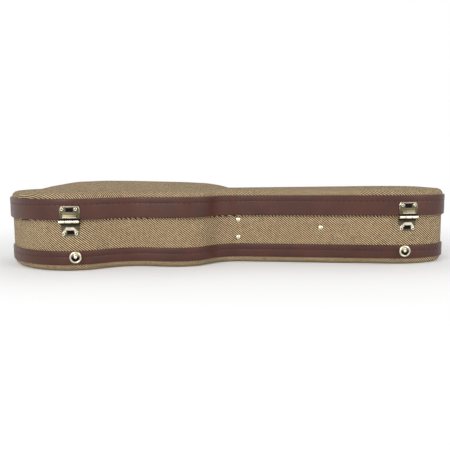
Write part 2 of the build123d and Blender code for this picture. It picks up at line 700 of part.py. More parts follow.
def make_feet():
    """Round side feet on the hinge side: a turned metal button with a dished face and a domed stud."""
    stud_plane_out = BODY_BAND_THICK + FOOT_HEIGHT - FOOT_DISH_DEPTH
    height = EDGE_RADIUS + BODY_BAND_HEIGHT / 2
    with BuildPart() as foot_studs:
        for side, x in zip(SIDES, FOOT_X):
            with BuildPart(mode=Mode.PRIVATE) as foot:
                with BuildSketch(face_plane(x, False, height, 0)):
                    Circle(FOOT_RADIUS)
                extrude(amount=BODY_BAND_THICK + FOOT_HEIGHT / 2)
                with BuildSketch(face_plane(x, False, height, BODY_BAND_THICK + FOOT_HEIGHT / 2)):
                    Circle(FOOT_RADIUS)
                extrude(amount=FOOT_HEIGHT / 2, taper=25)
                with BuildSketch(face_plane(x, False, height, BODY_BAND_THICK + FOOT_HEIGHT)):
                    Circle(FOOT_DISH_RADIUS)
                extrude(amount=-FOOT_DISH_DEPTH, taper=20, mode=Mode.SUBTRACT)
                cut_back(0, SPLIT_HEIGHT, BODY_BAND_THICK)
            save(foot, f"foot_{side}")
            with BuildSketch(face_plane(x, False, height, stud_plane_out)):
                Circle(FOOT_STUD_RADIUS)
            extrude(amount=FOOT_STUD_DOME)
            with BuildSketch(face_plane(x, False, height, stud_plane_out + FOOT_STUD_DOME)):
                Circle(FOOT_STUD_RADIUS)
            extrude(amount=FOOT_STUD_DOME, taper=45)
    save(foot_studs, "foot_studs")


def make_latch_base(x):
    """Base plate of a draw latch with two upright ears for the lever's pin."""
    with BuildPart() as base:
        middle = (LATCH_BASE_LOW + LATCH_BASE_HIGH) / 2
        block(face_plane(x, True, middle, -2), LATCH_WIDTH, LATCH_BASE_HIGH - LATCH_BASE_LOW, 12,
              corner=LEAF_CORNER)
        keep_within(0, 2 * LID_TOP, LATCH_SHEET)
        for side in (-1, 1):
            ear = side_plane(x, True, LEVER_AXIS_HEIGHT, 0, side * EAR_SPREAD / 2)
            with BuildSketch(ear):
                with Locations((LEVER_AXIS_OUT, 0)):
                    Circle(EAR_RADIUS)
                with Locations((LEVER_AXIS_OUT / 2 - 1, 0)):
                    Rectangle(LEVER_AXIS_OUT + 2, 2 * EAR_RADIUS)
            extrude(amount=LATCH_SHEET / 2, both=True)
        with BuildSketch(side_plane(x, True, LEVER_AXIS_HEIGHT, LEVER_AXIS_OUT)):
            Circle(LEVER_PIN_RADIUS)
        extrude(amount=EAR_SPREAD, both=True, mode=Mode.SUBTRACT)
        cut_back(0, 2 * LID_TOP, 0)
        for plane in latch_rivet_places(x, -1):
            with BuildSketch(plane):
                Circle(RIVET_SHANK)
            extrude(amount=LATCH_SHEET + 2, mode=Mode.SUBTRACT)
    return base


def latch_rivet_places(x, out):
    """Planes of the two rivets in the lower corners of a latch base."""
    places = []
    for shift in (-LATCH_RIVET_SPREAD / 2, LATCH_RIVET_SPREAD / 2):
        places.append(face_plane(x + shift, True, LATCH_BASE_LOW + HINGE_RIVET_EDGE, out))
    return places


def make_lever(x):
    """Lever of a draw latch: a folded cover with two cheeks and a finger tab at its free end."""
    top = LEVER_AXIS_HEIGHT + EAR_RADIUS
    bottom = LEVER_AXIS_HEIGHT - LEVER_LENGTH
    cheek_low = BAIL_AXIS_HEIGHT - LEVER_CHEEK
    inner = LEVER_OUT - LATCH_SHEET
    with BuildPart() as lever:
        with BuildSketch(side_plane(x, True, 0)):
            with BuildLine():
                Polyline(
                    (inner, top - 1),
                    (inner, bottom),
                    (inner + LEVER_TAB / 2, bottom - LEVER_TAB),
                    (LEVER_OUT + LEVER_TAB / 2, bottom - LEVER_TAB + 0.5),
                    (LEVER_OUT, bottom + 0.5),
                    (LEVER_OUT, top - 1),
                    close=True,
                )
            make_face()
        extrude(amount=LEVER_WIDTH / 2, both=True)
        fillet(lever.edges().filter_by(Axis.Z).group_by(Axis.Y)[-1], 0.5)
        for side in (-1, 1):
            with BuildSketch(side_plane(x, True, 0, 0, side * (LEVER_WIDTH - LATCH_SHEET) / 2)):
                with Locations((LEVER_AXIS_OUT, LEVER_AXIS_HEIGHT)):
                    Circle(EAR_RADIUS)
                with Locations((BAIL_AXIS_OUT, BAIL_AXIS_HEIGHT)):
                    Circle(LEVER_CHEEK)
                with BuildLine():
                    Polyline(
                        (LEVER_AXIS_OUT, top),
                        (LEVER_AXIS_OUT - EAR_RADIUS, LEVER_AXIS_HEIGHT),
                        (BAIL_AXIS_OUT - LEVER_CHEEK, BAIL_AXIS_HEIGHT),
                        (BAIL_AXIS_OUT, cheek_low),
                        (inner + 0.5, cheek_low - 4),
                        (inner + 0.5, top - 1.2),
                        close=True,
                    )
                make_face()
            extrude(amount=LATCH_SHEET / 2, both=True)
        for out, height, radius in (
            (LEVER_AXIS_OUT, LEVER_AXIS_HEIGHT, LEVER_PIN_RADIUS),
            (BAIL_AXIS_OUT, BAIL_AXIS_HEIGHT, BAIL_WIRE),
        ):
            with BuildSketch(side_plane(x, True, height, out)):
                Circle(radius + RUNNING_CLEARANCE)
            extrude(amount=LEVER_WIDTH, both=True, mode=Mode.SUBTRACT)
    return lever


def make_bail(x):
    """Wire bail of a draw latch, hanging from the lever's cheeks."""
    half = LEVER_WIDTH / 2 + BAIL_SIDE_GAP + BAIL_WIRE
    eye = (LEVER_WIDTH - LATCH_SHEET) / 2
    plane = face_plane(x, True, BAIL_AXIS_HEIGHT, BAIL_AXIS_OUT)
    with BuildPart() as bail:
        with BuildLine(plane):
            Polyline(
                (-eye, 0),
                (BAIL_EYE_CORNER - half, 0),
                (-half, -BAIL_EYE_CORNER),
                (-half, BAIL_CORNER - BAIL_REACH),
                (BAIL_CORNER - half, -BAIL_REACH),
                (half - BAIL_CORNER, -BAIL_REACH),
                (half, BAIL_CORNER - BAIL_REACH),
                (half, -BAIL_EYE_CORNER),
                (half - BAIL_EYE_CORNER, 0),
                (eye, 0),
            )
        with BuildSketch(side_plane(x, True, BAIL_AXIS_HEIGHT, BAIL_AXIS_OUT, -eye)):
            RegularPolygon(BAIL_WIRE, WIRE_SIDES)
        sweep(transition=Transition.RIGHT)
    return bail


def make_catch(x):
    """Catch on the lid's band: a riveted plate with an upturned hook for the bail."""
    reach = BAIL_AXIS_HEIGHT + BAIL_REACH
    hook = reach - BAIL_WIRE - HOOK_CLEARANCE
    face = LID_FACE + LATCH_SHEET
    lip = face + 2 * BAIL_WIRE + HOOK_LIP
    with BuildPart() as catch:
        middle = (CATCH_LOW + CATCH_HIGH) / 2
        block(face_plane(x, True, middle, 0), CATCH_WIDTH, CATCH_HIGH - CATCH_LOW, 12, corner=LEAF_CORNER)
        keep_within(0, 2 * LID_TOP, face)
        with BuildSketch(side_plane(x, True, 0)):
            with BuildLine():
                Polyline(
                    (LID_FACE - 1, CATCH_LOW + 0.5),
                    (face, CATCH_LOW + 0.5),
                    (lip, hook - 2.2),
                    (lip, hook),
                    (lip - LATCH_SHEET, hook),
                    (lip - LATCH_SHEET, hook - 1.4),
                    (face, hook - 2.4),
                    (LID_FACE - 1, hook - 2.4),
                    close=True,
                )
            make_face()
        extrude(amount=CATCH_WIDTH / 2 - 1, both=True)
        cut_back(0, 2 * LID_TOP, LID_FACE)
        for plane in catch_rivet_places(x, LID_FACE - 1):
            with BuildSketch(plane):
                Circle(RIVET_SHANK)
            extrude(amount=LATCH_SHEET + 2, mode=Mode.SUBTRACT)
    return catch


def catch_rivet_places(x, out):
    """Planes of the two rivets at the top of a catch."""
    places = []
    for shift in (-CATCH_RIVET_SPREAD / 2, CATCH_RIVET_SPREAD / 2):
        places.append(face_plane(x + shift, True, CATCH_HIGH - HINGE_RIVET_EDGE, out))
    return places


def make_latches():
    """Both draw latches: bases, levers, bails, pins, catches and rivets."""
    for side, x in SIDES.items():
        save(make_latch_base(x), f"latch_{side}_base")
        save(make_lever(x), f"latch_{side}_lever")
        save(make_bail(x), f"latch_{side}_bail")
        save(make_catch(x), f"latch_{side}_catch")
        with BuildPart() as pin:
            with BuildSketch(side_plane(x, True, LEVER_AXIS_HEIGHT, LEVER_AXIS_OUT)):
                Circle(LEVER_PIN_RADIUS)
            extrude(amount=LEVER_WIDTH / 2 + 0.4, both=True)
        save(pin, f"latch_{side}_lever_pin")
    with BuildPart() as base_rivets:
        for x in SIDES.values():
            for plane in latch_rivet_places(x, 0):
                add(rivet(plane, LATCH_SHEET))
    save(base_rivets, "latch_base_rivets")
    with BuildPart() as catch_rivets:
        for x in SIDES.values():
            for plane in catch_rivet_places(x, LID_FACE):
                add(rivet(plane, LATCH_SHEET))
    save(catch_rivets, "catch_rivets")


def handle_plane(x):
    """Plane of the hanging handle at a place: x along the case, y away from the pivot line."""
    lean = radians(HANDLE_LEAN)
    away = Vector(0, sin(lean), -cos(lean))
    square = Vector(1, 0, 0).cross(away)
    return Plane(origin=(x, HANDLE_AXIS_Y, HANDLE_AXIS_HEIGHT), x_dir=(1, 0, 0), z_dir=square)


def wire_loop(x):
    """Rectangular wire loop between the bracket and the grip, one side of it on the pivot line."""
    half = LOOP_INNER / 2 + LOOP_WIRE
    with BuildPart() as loop:
        with BuildLine(handle_plane(x)) as path:
            Polyline(
                (0, 0),
                (half - LOOP_CORNER, 0),
                (half, LOOP_CORNER),
                (half, LOOP_REACH - LOOP_CORNER),
                (half - LOOP_CORNER, LOOP_REACH),
                (LOOP_CORNER - half, LOOP_REACH),
                (-half, LOOP_REACH - LOOP_CORNER),
                (-half, LOOP_CORNER),
                (LOOP_CORNER - half, 0),
                (0, 0),
            )
        with BuildSketch(Plane(origin=path.line @ 0, z_dir=path.line % 0)):
            RegularPolygon(LOOP_WIRE, WIRE_SIDES)
        sweep(transition=Transition.RIGHT)
    return loop.part


def make_handle():
    """Carrying handle on the far side: brackets, wire loops and a padded leather grip."""
    ends = {"left": HANDLE_X - HANDLE_SPAN / 2, "right": HANDLE_X + HANDLE_SPAN / 2}
    for side, x in ends.items():
        with BuildPart() as bracket:
            block(face_plane(x, True, HANDLE_AXIS_HEIGHT, -WALL), BRACKET_WIDTH, BRACKET_HEIGHT, 4 * WALL,
                  corner=LEAF_CORNER)
            keep_within(0, 2 * LID_TOP, BRACKET_SHEET)
            half = half_width(x)
            with BuildSketch(Plane(origin=(x, 0, HANDLE_AXIS_HEIGHT), x_dir=(0, 1, 0), z_dir=(1, 0, 0))):
                with Locations((HANDLE_AXIS_Y, 0)):
                    Circle(KNUCKLE_RADIUS)
                with Locations(((HANDLE_AXIS_Y + half) / 2 - 2, 0)):
                    Rectangle(HANDLE_AXIS_Y - half + 4, KNUCKLE_RADIUS)
            extrude(amount=KNUCKLE_WIDTH / 2, both=True)
            with BuildSketch(Plane(origin=(x, 0, HANDLE_AXIS_HEIGHT), x_dir=(0, 1, 0), z_dir=(1, 0, 0))):
                with Locations((HANDLE_AXIS_Y, 0)):
                    Circle(LOOP_WIRE + LOOP_CLEARANCE)
            extrude(amount=KNUCKLE_WIDTH, both=True, mode=Mode.SUBTRACT)
            cut_back(0, 2 * LID_TOP, SEAT_GAP)
            for plane in bracket_rivet_places(x, -2):
                with BuildSketch(plane):
                    Circle(RIVET_SHANK)
                extrude(amount=BRACKET_SHEET + 4, mode=Mode.SUBTRACT)
        save(bracket, f"handle_{side}_bracket")
    with BuildPart() as bracket_rivets:
        for x in ends.values():
            for plane in bracket_rivet_places(x, SEAT_GAP):
                add(rivet(plane, BRACKET_SHEET))
    save(bracket_rivets, "handle_bracket_rivets")

    loops = [wire_loop(x) for x in ends.values()]
    with BuildPart() as handle_loops:
        for loop in loops:
            add(loop)
    save(handle_loops, "handle_loops")

    half = HANDLE_SPAN / 2
    with BuildPart() as grip:
        with BuildLine(handle_plane(HANDLE_X)) as path:
            FilletPolyline(
                (-half, LOOP_REACH - GRIP_NECK_RADIUS),
                (-half + GRIP_TURN, LOOP_REACH + GRIP_DROP),
                (-half + GRIP_SHOULDER, GRIP_REACH),
                (half - GRIP_SHOULDER, GRIP_REACH),
                (half - GRIP_TURN, LOOP_REACH + GRIP_DROP),
                (half, LOOP_REACH - GRIP_NECK_RADIUS),
                radius=GRIP_BEND,
            )
        with BuildSketch(Plane(origin=path.line @ 0, z_dir=path.line % 0)):
            Circle(GRIP_NECK_RADIUS)
        sweep()
        grip_middle = handle_plane(HANDLE_X).from_local_coords((0, GRIP_REACH, 0))
        with BuildSketch(Plane(origin=grip_middle, z_dir=(1, 0, 0))):
            Circle(GRIP_RADIUS)
        extrude(amount=half - GRIP_SHOULDER - GRIP_NECK_RADIUS, both=True)
        for loop in loops:
            add(loop, mode=Mode.SUBTRACT)
    save(grip, "handle_grip")


def bracket_rivet_places(x, out):
    """Planes of the rivets above and below a handle bracket's knuckle."""
    places = []
    for shift in (-BRACKET_RIVET_SPREAD / 2, BRACKET_RIVET_SPREAD / 2):
        places.append(face_plane(x, True, HANDLE_AXIS_HEIGHT + shift, out))
    return places


make_bottom_panel()
make_lid_panel()
make_walls()
make_padding()
make_compartment()
make_wall_rivets()
make_hinges()
make_feet()
make_latches()
make_handle()
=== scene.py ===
"""A hard ukulele case dressed for the camera: tweed shells, sewn leather bands, stamped hinges, plush inside.

Sizes are millimetres until a mesh is written. Surfaces are grids worked out from the plan of the case:
a line round the wall, a direction square to it at every place, and a profile carried along both.
"""

import logging
import math
from dataclasses import dataclass, field
from enum import Enum

import bmesh
import bpy
import numpy as np
from mathutils import Matrix


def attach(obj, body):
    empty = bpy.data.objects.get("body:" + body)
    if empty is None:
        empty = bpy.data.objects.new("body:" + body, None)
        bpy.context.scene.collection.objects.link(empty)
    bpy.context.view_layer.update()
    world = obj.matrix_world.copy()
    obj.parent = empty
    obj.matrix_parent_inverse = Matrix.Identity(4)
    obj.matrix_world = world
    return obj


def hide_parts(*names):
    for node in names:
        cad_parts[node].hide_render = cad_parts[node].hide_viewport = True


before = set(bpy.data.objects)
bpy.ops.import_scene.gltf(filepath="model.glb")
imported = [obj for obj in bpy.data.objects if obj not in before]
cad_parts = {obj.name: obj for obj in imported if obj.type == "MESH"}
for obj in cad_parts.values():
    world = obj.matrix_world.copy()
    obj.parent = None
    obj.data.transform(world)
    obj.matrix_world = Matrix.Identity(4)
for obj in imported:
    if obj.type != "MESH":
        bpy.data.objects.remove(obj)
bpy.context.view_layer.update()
LOG = logging.getLogger("ukulele_case")
METRE = 0.001
UP = np.array([0.0, 0.0, 1.0])
STRIPS = ("lower_end", "hinge_side", "latch_side", "head_end")
FITTING_PLACES = {"left": -219.87, "right": 267.23}
Colour = tuple[float, float, float]
Socket = bpy.types.NodeSocket
Material = bpy.types.Material


class Side(Enum):
    """Long sides of the case."""

    HINGE = -1
    LATCH = 1


def smooth(value: np.ndarray) -> np.ndarray:
    """Smooth step of a value from 0 to 1: three times its square less twice its cube.

    Args:
        value: Any numbers; they are held between 0 and 1 first.

    Returns:
        The eased numbers.
    """
    held = np.clip(value, 0.0, 1.0)
    return held * held * (3.0 - 2.0 * held)


def lifted(level: np.ndarray, height: np.ndarray) -> np.ndarray:
    """Level points and their heights put together.

    Args:
        level: Points with x and y in the last axis.
        height: Heights, shaped like the points without the last axis.

    Returns:
        Points with x, y and z.
    """
    return np.concatenate([level, height[..., None]], -1)


def dome_over(distance: np.ndarray) -> np.ndarray:
    """Height of a quarter circle over the share of its width, from 0 at the rim to 1.

    Args:
        distance: Share of the width, held between 0 and 1.

    Returns:
        Shares of the full height.
    """
    return np.sqrt(np.clip(1 - (1 - np.clip(distance, 0, 1)) ** 2, 0, 1))


def stand(piece: bpy.types.Object, place: tuple[float, float, float], axes: tuple[np.ndarray, ...]) -> None:
    """Stands a camera or a lamp at a place in metres and links it.

    Args:
        piece: The camera or lamp.
        place: Where it stands.
        axes: Its own x, y and z directions.
    """
    turn = np.eye(4)
    turn[:3, :3] = np.stack(axes, 1)
    turn[:3, 3] = place
    piece.matrix_world = Matrix(turn.tolist())
    bpy.context.collection.objects.link(piece)


@dataclass
class Surface:
    """Grids of points gathered into one mesh."""

    verts: list = field(default_factory=list)
    quads: list = field(default_factory=list)
    uvs: list = field(default_factory=list)
    marks: list = field(default_factory=list)
    count: int = 0

    def grids(self, points: np.ndarray, uv: np.ndarray | None = None, mark: np.ndarray | None = None) -> None:
        """Adds grids of quads between neighbouring rows and columns, facing profile direction times row direction.

        Args:
            points: Places in mm, shaped grids by rows by columns by 3.
            uv: Pattern places in mm, shaped like points with 2 at the end.
            mark: Numbers from 0 to 1 for the piece's attribute, which the plated metal shows as painted shade and
                painted dark reflection, shaped like points without the last axis.
        """
        sets, rows, cols = points.shape[:3]
        index = self.count + np.arange(sets * rows * cols).reshape(sets, rows, cols)
        corners = [index[:, :-1, :-1], index[:, :-1, 1:], index[:, 1:, 1:], index[:, 1:, :-1]]
        self.quads.append(np.stack(corners, -1).reshape(-1, 4))
        self.verts.append(points.reshape(-1, 3))
        self.uvs.append(np.zeros((index.size, 2)) if uv is None else uv.reshape(-1, 2))
        self.marks.append(np.zeros(index.size) if mark is None else mark.reshape(-1))
        self.count += index.size

    def grid(self, points: np.ndarray, uv: np.ndarray | None = None, mark: np.ndarray | None = None) -> None:
        """Adds one grid of rows by columns by 3."""
        self.grids(points[None], None if uv is None else uv[None], None if mark is None else mark[None])

    def slab(self, top: np.ndarray, bottom: np.ndarray, mark: np.ndarray) -> None:
        """Adds a closed plate between two grids of the same shape, with a strip round their rims.

        Args:
            top: Outer grid in mm.
            bottom: Inner grid in mm.
            mark: Attribute of the outer grid.
        """
        self.grid(top, mark=mark)
        self.grid(bottom)
        rims = [np.concatenate([g[0], g[1:, -1], g[-1, -2::-1], g[-2::-1, 0]]) for g in (top, bottom)]
        rim_mark = np.concatenate([mark[0], mark[1:, -1], mark[-1, -2::-1], mark[-2::-1, 0]])
        self.grid(np.stack(rims, 1), mark=np.stack([rim_mark, rim_mark], 1))

    def lathe(self, centre: np.ndarray, axis: np.ndarray, profile: np.ndarray, turns: int = 40,
              lower_only: bool = False) -> None:
        """Adds a turned solid: each profile point goes round the axis at its own radius and height.

        Args:
            centre: Foot of the axis in mm.
            axis: Unit direction of the axis.
            profile: Rows of radius, height and perhaps attribute, starting and ending at radius 0.
            turns: Steps round the axis.
            lower_only: Whether the attribute fades out over the upper half of the head, keeping its painted shade on
                the lower half.
        """
        across = np.cross(UP, axis)
        across = across / np.linalg.norm(across)
        other = np.cross(axis, across)
        angle = np.linspace(0, 2 * np.pi, turns + 1)[:, None, None]
        radius, height = profile[None, :, :1], profile[None, :, 1:2]
        points = centre + axis * height + radius * (np.cos(angle) * across + np.sin(angle) * other)
        mark = np.zeros(points.shape[:2])
        if profile.shape[1] > 2:
            # Painted shade: with lower_only the attribute stays on the lower half of the head and fades above.
            low = smooth(0.62 - 1.25 * (points[..., 2] - centre[2]) / radius.max())
            mark = mark + profile[None, :, 2] * (low if lower_only else 1.0)
        self.grid(points, mark=mark)

    def tube(self, path: np.ndarray, square: np.ndarray, radius: np.ndarray, closed: bool, turns: int = 20) -> None:
        """Adds a round bar along a flat path: a circle of each place's radius, square to the path there.

        Args:
            path: Points of the centre line in mm.
            square: Unit direction square to the plane of the path.
            radius: Radius in mm at each point.
            closed: Whether the path ends where it starts.
            turns: Steps round the bar.
        """
        along = np.roll(path, -1, 0) - np.roll(path, 1, 0) if closed else np.gradient(path, axis=0)
        along = along / np.linalg.norm(along, axis=1)[:, None]
        side = np.cross(square, along)
        angle = np.linspace(0, 2 * np.pi, turns + 1)[None, :, None]
        ring = np.cos(angle) * side[:, None] + np.sin(angle) * square
        points = path[:, None] + ring * radius[:, None, None]
        run = np.concatenate([[0], np.cumsum(np.linalg.norm(np.diff(path, axis=0), axis=1))])
        if closed:
            points = np.concatenate([points, points[:1]])
            run = np.append(run, run[-1] + np.linalg.norm(path[0] - path[-1]))
        uv = np.stack(np.broadcast_arrays(run[:, None], angle[..., 0] * radius.max()), -1)
        self.grid(points, uv)

    def build(self, name: str, material: Material, closed: bool = True, sharp: float = 42.0) -> bpy.types.Object:
        """Writes the mesh, merges its seams and poles and shades it.

        Args:
            name: Name of the piece.
            material: Its finish.
            closed: Whether the mesh is a closed solid, whose faces are then turned outwards.
            sharp: Angle in degrees past which an edge stays sharp.

        Returns:
            The new object at the origin.
        """
        quads = np.concatenate(self.quads)
        mesh = bpy.data.meshes.new(name)
        mesh.from_pydata((np.concatenate(self.verts) * METRE).tolist(), [], quads.tolist())
        layer = mesh.uv_layers.new(name="cloth")
        layer.data.foreach_set("uv", (np.concatenate(self.uvs)[quads.ravel()] * METRE).astype(np.float32).ravel())
        mark = mesh.attributes.new("mark", "FLOAT", "POINT")
        mark.data.foreach_set("value", np.concatenate(self.marks).astype(np.float32))
        work = bmesh.new()
        work.from_mesh(mesh)
        bmesh.ops.remove_doubles(work, verts=work.verts, dist=4e-6)
        bmesh.ops.dissolve_degenerate(work, edges=work.edges, dist=1e-7)
        if closed:
            bmesh.ops.recalc_face_normals(work, faces=work.faces)
        work.to_mesh(mesh)
        work.free()
        mesh.polygons.foreach_set("use_smooth", np.ones(len(mesh.polygons), bool))
        mesh.set_sharp_from_angle(angle=math.radians(sharp))
        mesh.materials.append(material)
        piece = bpy.data.objects.new(name, mesh)
        bpy.context.collection.objects.link(piece)
        return piece


@dataclass(frozen=True)
class CasePlan:
    """Plan outline of the tray's wall, as arcs that meet smoothly."""

    length: float = 672.0
    lower_bout: tuple[float, float] = (-225.0, 120.0)
    corner_radius: float = 92.0
    waist: tuple[float, float] = (-131.0, 88.0)
    waist_radius: float = 76.0
    upper_bout: tuple[float, float] = (-66.0, 97.0)
    neck: tuple[float, float] = (16.0, 55.0)
    neck_radius: float = 50.0
    head: tuple[float, float] = (260.0, 88.0)
    head_radius: float = 110.0
    head_corner: float = 42.0
    split: float = 71.0

    @staticmethod
    def radii(run: float, drop: float) -> float:
        """Sum of the radii of a round and a hollow arc that meet, from the run and drop between their tops."""
        return (run * run + drop * drop) / (2 * drop)

    def arcs(self) -> list[tuple[complex, float, float, float, int]]:
        """Arcs of the half outline from the lower end to the head.

        Returns:
            Centre, radius, first and last angle, and 1 for a round arc or -1 for a hollow one.
        """
        left = -self.length / 2
        corner = complex(self.lower_bout[0], self.lower_bout[1] - self.corner_radius)
        reach = corner.real - left
        end_radius = (reach**2 + corner.imag**2 - self.corner_radius**2) / (2 * (reach - self.corner_radius))
        end = complex(left + end_radius, 0)
        turn = float(np.angle(corner - end))
        waist = complex(self.waist[0], self.waist[1] + self.waist_radius)
        run, drop = self.waist[0] - self.lower_bout[0], self.lower_bout[1] - self.waist[1]
        shoulder_radius = self.radii(run, drop) - self.waist_radius
        shoulder = complex(self.lower_bout[0], self.lower_bout[1] - shoulder_radius)
        into_waist = float(np.angle(waist - shoulder))
        run, drop = self.upper_bout[0] - self.waist[0], self.upper_bout[1] - self.waist[1]
        upper_radius = self.radii(run, drop) - self.waist_radius
        upper = complex(self.upper_bout[0], self.upper_bout[1] - upper_radius)
        out_of_waist = float(np.angle(waist - upper))
        neck = complex(self.neck[0], self.neck[1] + self.neck_radius)
        run, drop = self.neck[0] - self.upper_bout[0], self.upper_bout[1] - self.neck[1]
        bout_radius = self.radii(run, drop) - self.neck_radius
        bout = complex(self.upper_bout[0], self.upper_bout[1] - bout_radius)
        into_neck = float(np.angle(neck - bout))
        head = complex(self.head[0], self.head[1] - self.head_radius)
        span = head - neck
        flare = float(np.angle(span)) + math.asin((self.neck_radius + self.head_radius) / abs(span))
        step = self.length / 2 - self.head_corner - self.head[0]
        rise = math.sqrt((self.head_radius - self.head_corner) ** 2 - step**2)
        turn_head = math.atan2(rise, step)
        half = math.pi / 2
        return [
            (end, end_radius, math.pi, turn, 1),
            (corner, self.corner_radius, turn, half, 1),
            (shoulder, shoulder_radius, half, into_waist, 1),
            (waist, self.waist_radius, into_waist - math.pi, -half, -1),
            (waist, self.waist_radius, -half, out_of_waist - math.pi, -1),
            (upper, upper_radius, out_of_waist, half, 1),
            (bout, bout_radius, half, into_neck, 1),
            (neck, self.neck_radius, into_neck - math.pi, -half + flare, -1),
            (head, self.head_radius, half + flare, turn_head, 1),
            (head + complex(step, rise), self.head_corner, turn_head, 0.0, 1),
        ]


@dataclass
class WallLine:
    """Closed line round the case: places, outward directions and distance run."""

    plan: CasePlan
    steps: int = 760
    poles: tuple[float, float] = (-266.0, 286.0)
    half_x: np.ndarray = field(init=False)
    half_y: np.ndarray = field(init=False)
    place: np.ndarray = field(init=False)
    out: np.ndarray = field(init=False)
    run: np.ndarray = field(init=False)

    def __post_init__(self) -> None:
        """Samples the arcs finely, mirrors them, and spaces the places evenly."""
        points, normals = [], []
        for centre, radius, first, last, sign in self.plan.arcs():
            turn = np.linspace(first, last, 400)
            points.append(centre + radius * np.exp(1j * turn))
            normals.append(sign * np.exp(1j * turn))
        points.append(np.array([complex(self.plan.length / 2, 0)]))
        normals.append(np.array([1 + 0j]))
        half, facing = np.concatenate(points), np.concatenate(normals)
        self.half_x, self.half_y = half.real, half.imag
        whole = np.concatenate([half, half[-2::-1].conj()])
        facing = np.concatenate([facing, facing[-2::-1].conj()])
        length = np.concatenate([[0], np.cumsum(np.abs(np.diff(whole)))])
        keep = np.concatenate([[True], np.diff(length) > 1e-9])
        whole, facing, length = whole[keep], facing[keep], length[keep]
        self.fine = (length, whole, facing)
        self.run = np.linspace(0, length[-1], self.steps + 1)
        self.place, self.out = self.at(self.run)

    def at(self, run: np.ndarray) -> tuple[np.ndarray, np.ndarray]:
        """Places and outward directions at distances round the line.

        Args:
            run: Distances in mm.

        Returns:
            Both as arrays with x and y in the last axis.
        """
        length, whole, facing = self.fine
        run = np.mod(run, length[-1] + 1e-9)
        place = np.stack([np.interp(run, length, whole.real), np.interp(run, length, whole.imag)], -1)
        out = np.stack([np.interp(run, length, facing.real), np.interp(run, length, facing.imag)], -1)
        return place, out / np.linalg.norm(out, axis=-1, keepdims=True)

    def run_at(self, x: float, side: Side) -> float:
        """Distance round the line to a place along one long side."""
        length, whole, _ = self.fine
        half = whole.imag >= 0
        run = float(np.interp(x, whole.real[half], length[half]))
        return run if side is Side.LATCH else float(length[-1]) - run

    def spot(self, run: np.ndarray, out: np.ndarray, height: np.ndarray) -> np.ndarray:
        """Points at distances round the line, distances out from it, and heights.

        Args:
            run: Distances round the line in mm.
            out: Distances outwards in mm.
            height: Heights in mm.

        Returns:
            Points with x, y and z in the last axis.
        """
        run, out, height = np.broadcast_arrays(run, out, height)
        place, facing = self.at(run)
        flat = place + facing * out[..., None]
        return lifted(flat, height)

    def frame_at(self, x: float, side: Side, height: float, out: float = 0.0) -> tuple[np.ndarray, ...]:
        """Point on the wall with its outward and level directions.

        Args:
            x: Place along the case in mm.
            side: Long side.
            height: Height in mm.
            out: Distance outwards in mm.

        Returns:
            The point, the outward direction and the direction along the wall.
        """
        place, facing = self.at(np.array(self.run_at(x, side)))
        outward = np.array([facing[0], facing[1], 0.0])
        point = np.array([place[0], place[1], height]) + outward * out
        return point, outward, np.cross(UP, outward)

    def sweep(self, profile: np.ndarray) -> tuple[np.ndarray, np.ndarray]:
        """Carries a profile round the case.

        Args:
            profile: Rows of distance out and height in mm.

        Returns:
            The grid of points and its pattern places, the run and the length along the profile.
        """
        points = self.spot(self.run[:, None], profile[None, :, 0], profile[None, :, 1])
        length = np.concatenate([[0], np.cumsum(np.linalg.norm(np.diff(profile, axis=0), axis=1))])
        uv = np.stack(np.broadcast_arrays(self.run[:, None], length[None, :]), -1)
        return points, uv

    def fan(self, inset: float, shares: np.ndarray) -> tuple[np.ndarray, np.ndarray]:
        """Lines from the wall to the spine of the case, straight across between the ends and to a pole past them.

        Args:
            inset: Distance in from the wall in mm where the lines start.
            shares: Shares of the way from the wall to the spine.

        Returns:
            Level points with x and y, and each one's distance from its start.
        """
        edge = self.place - self.out * inset
        spine = np.stack([np.clip(edge[:, 0], *self.poles), np.zeros(len(edge))], -1)
        way = spine - edge
        points = edge[:, None] + way[:, None] * shares[None, :, None]
        return points, np.linalg.norm(way, axis=1)[:, None] * shares[None, :]


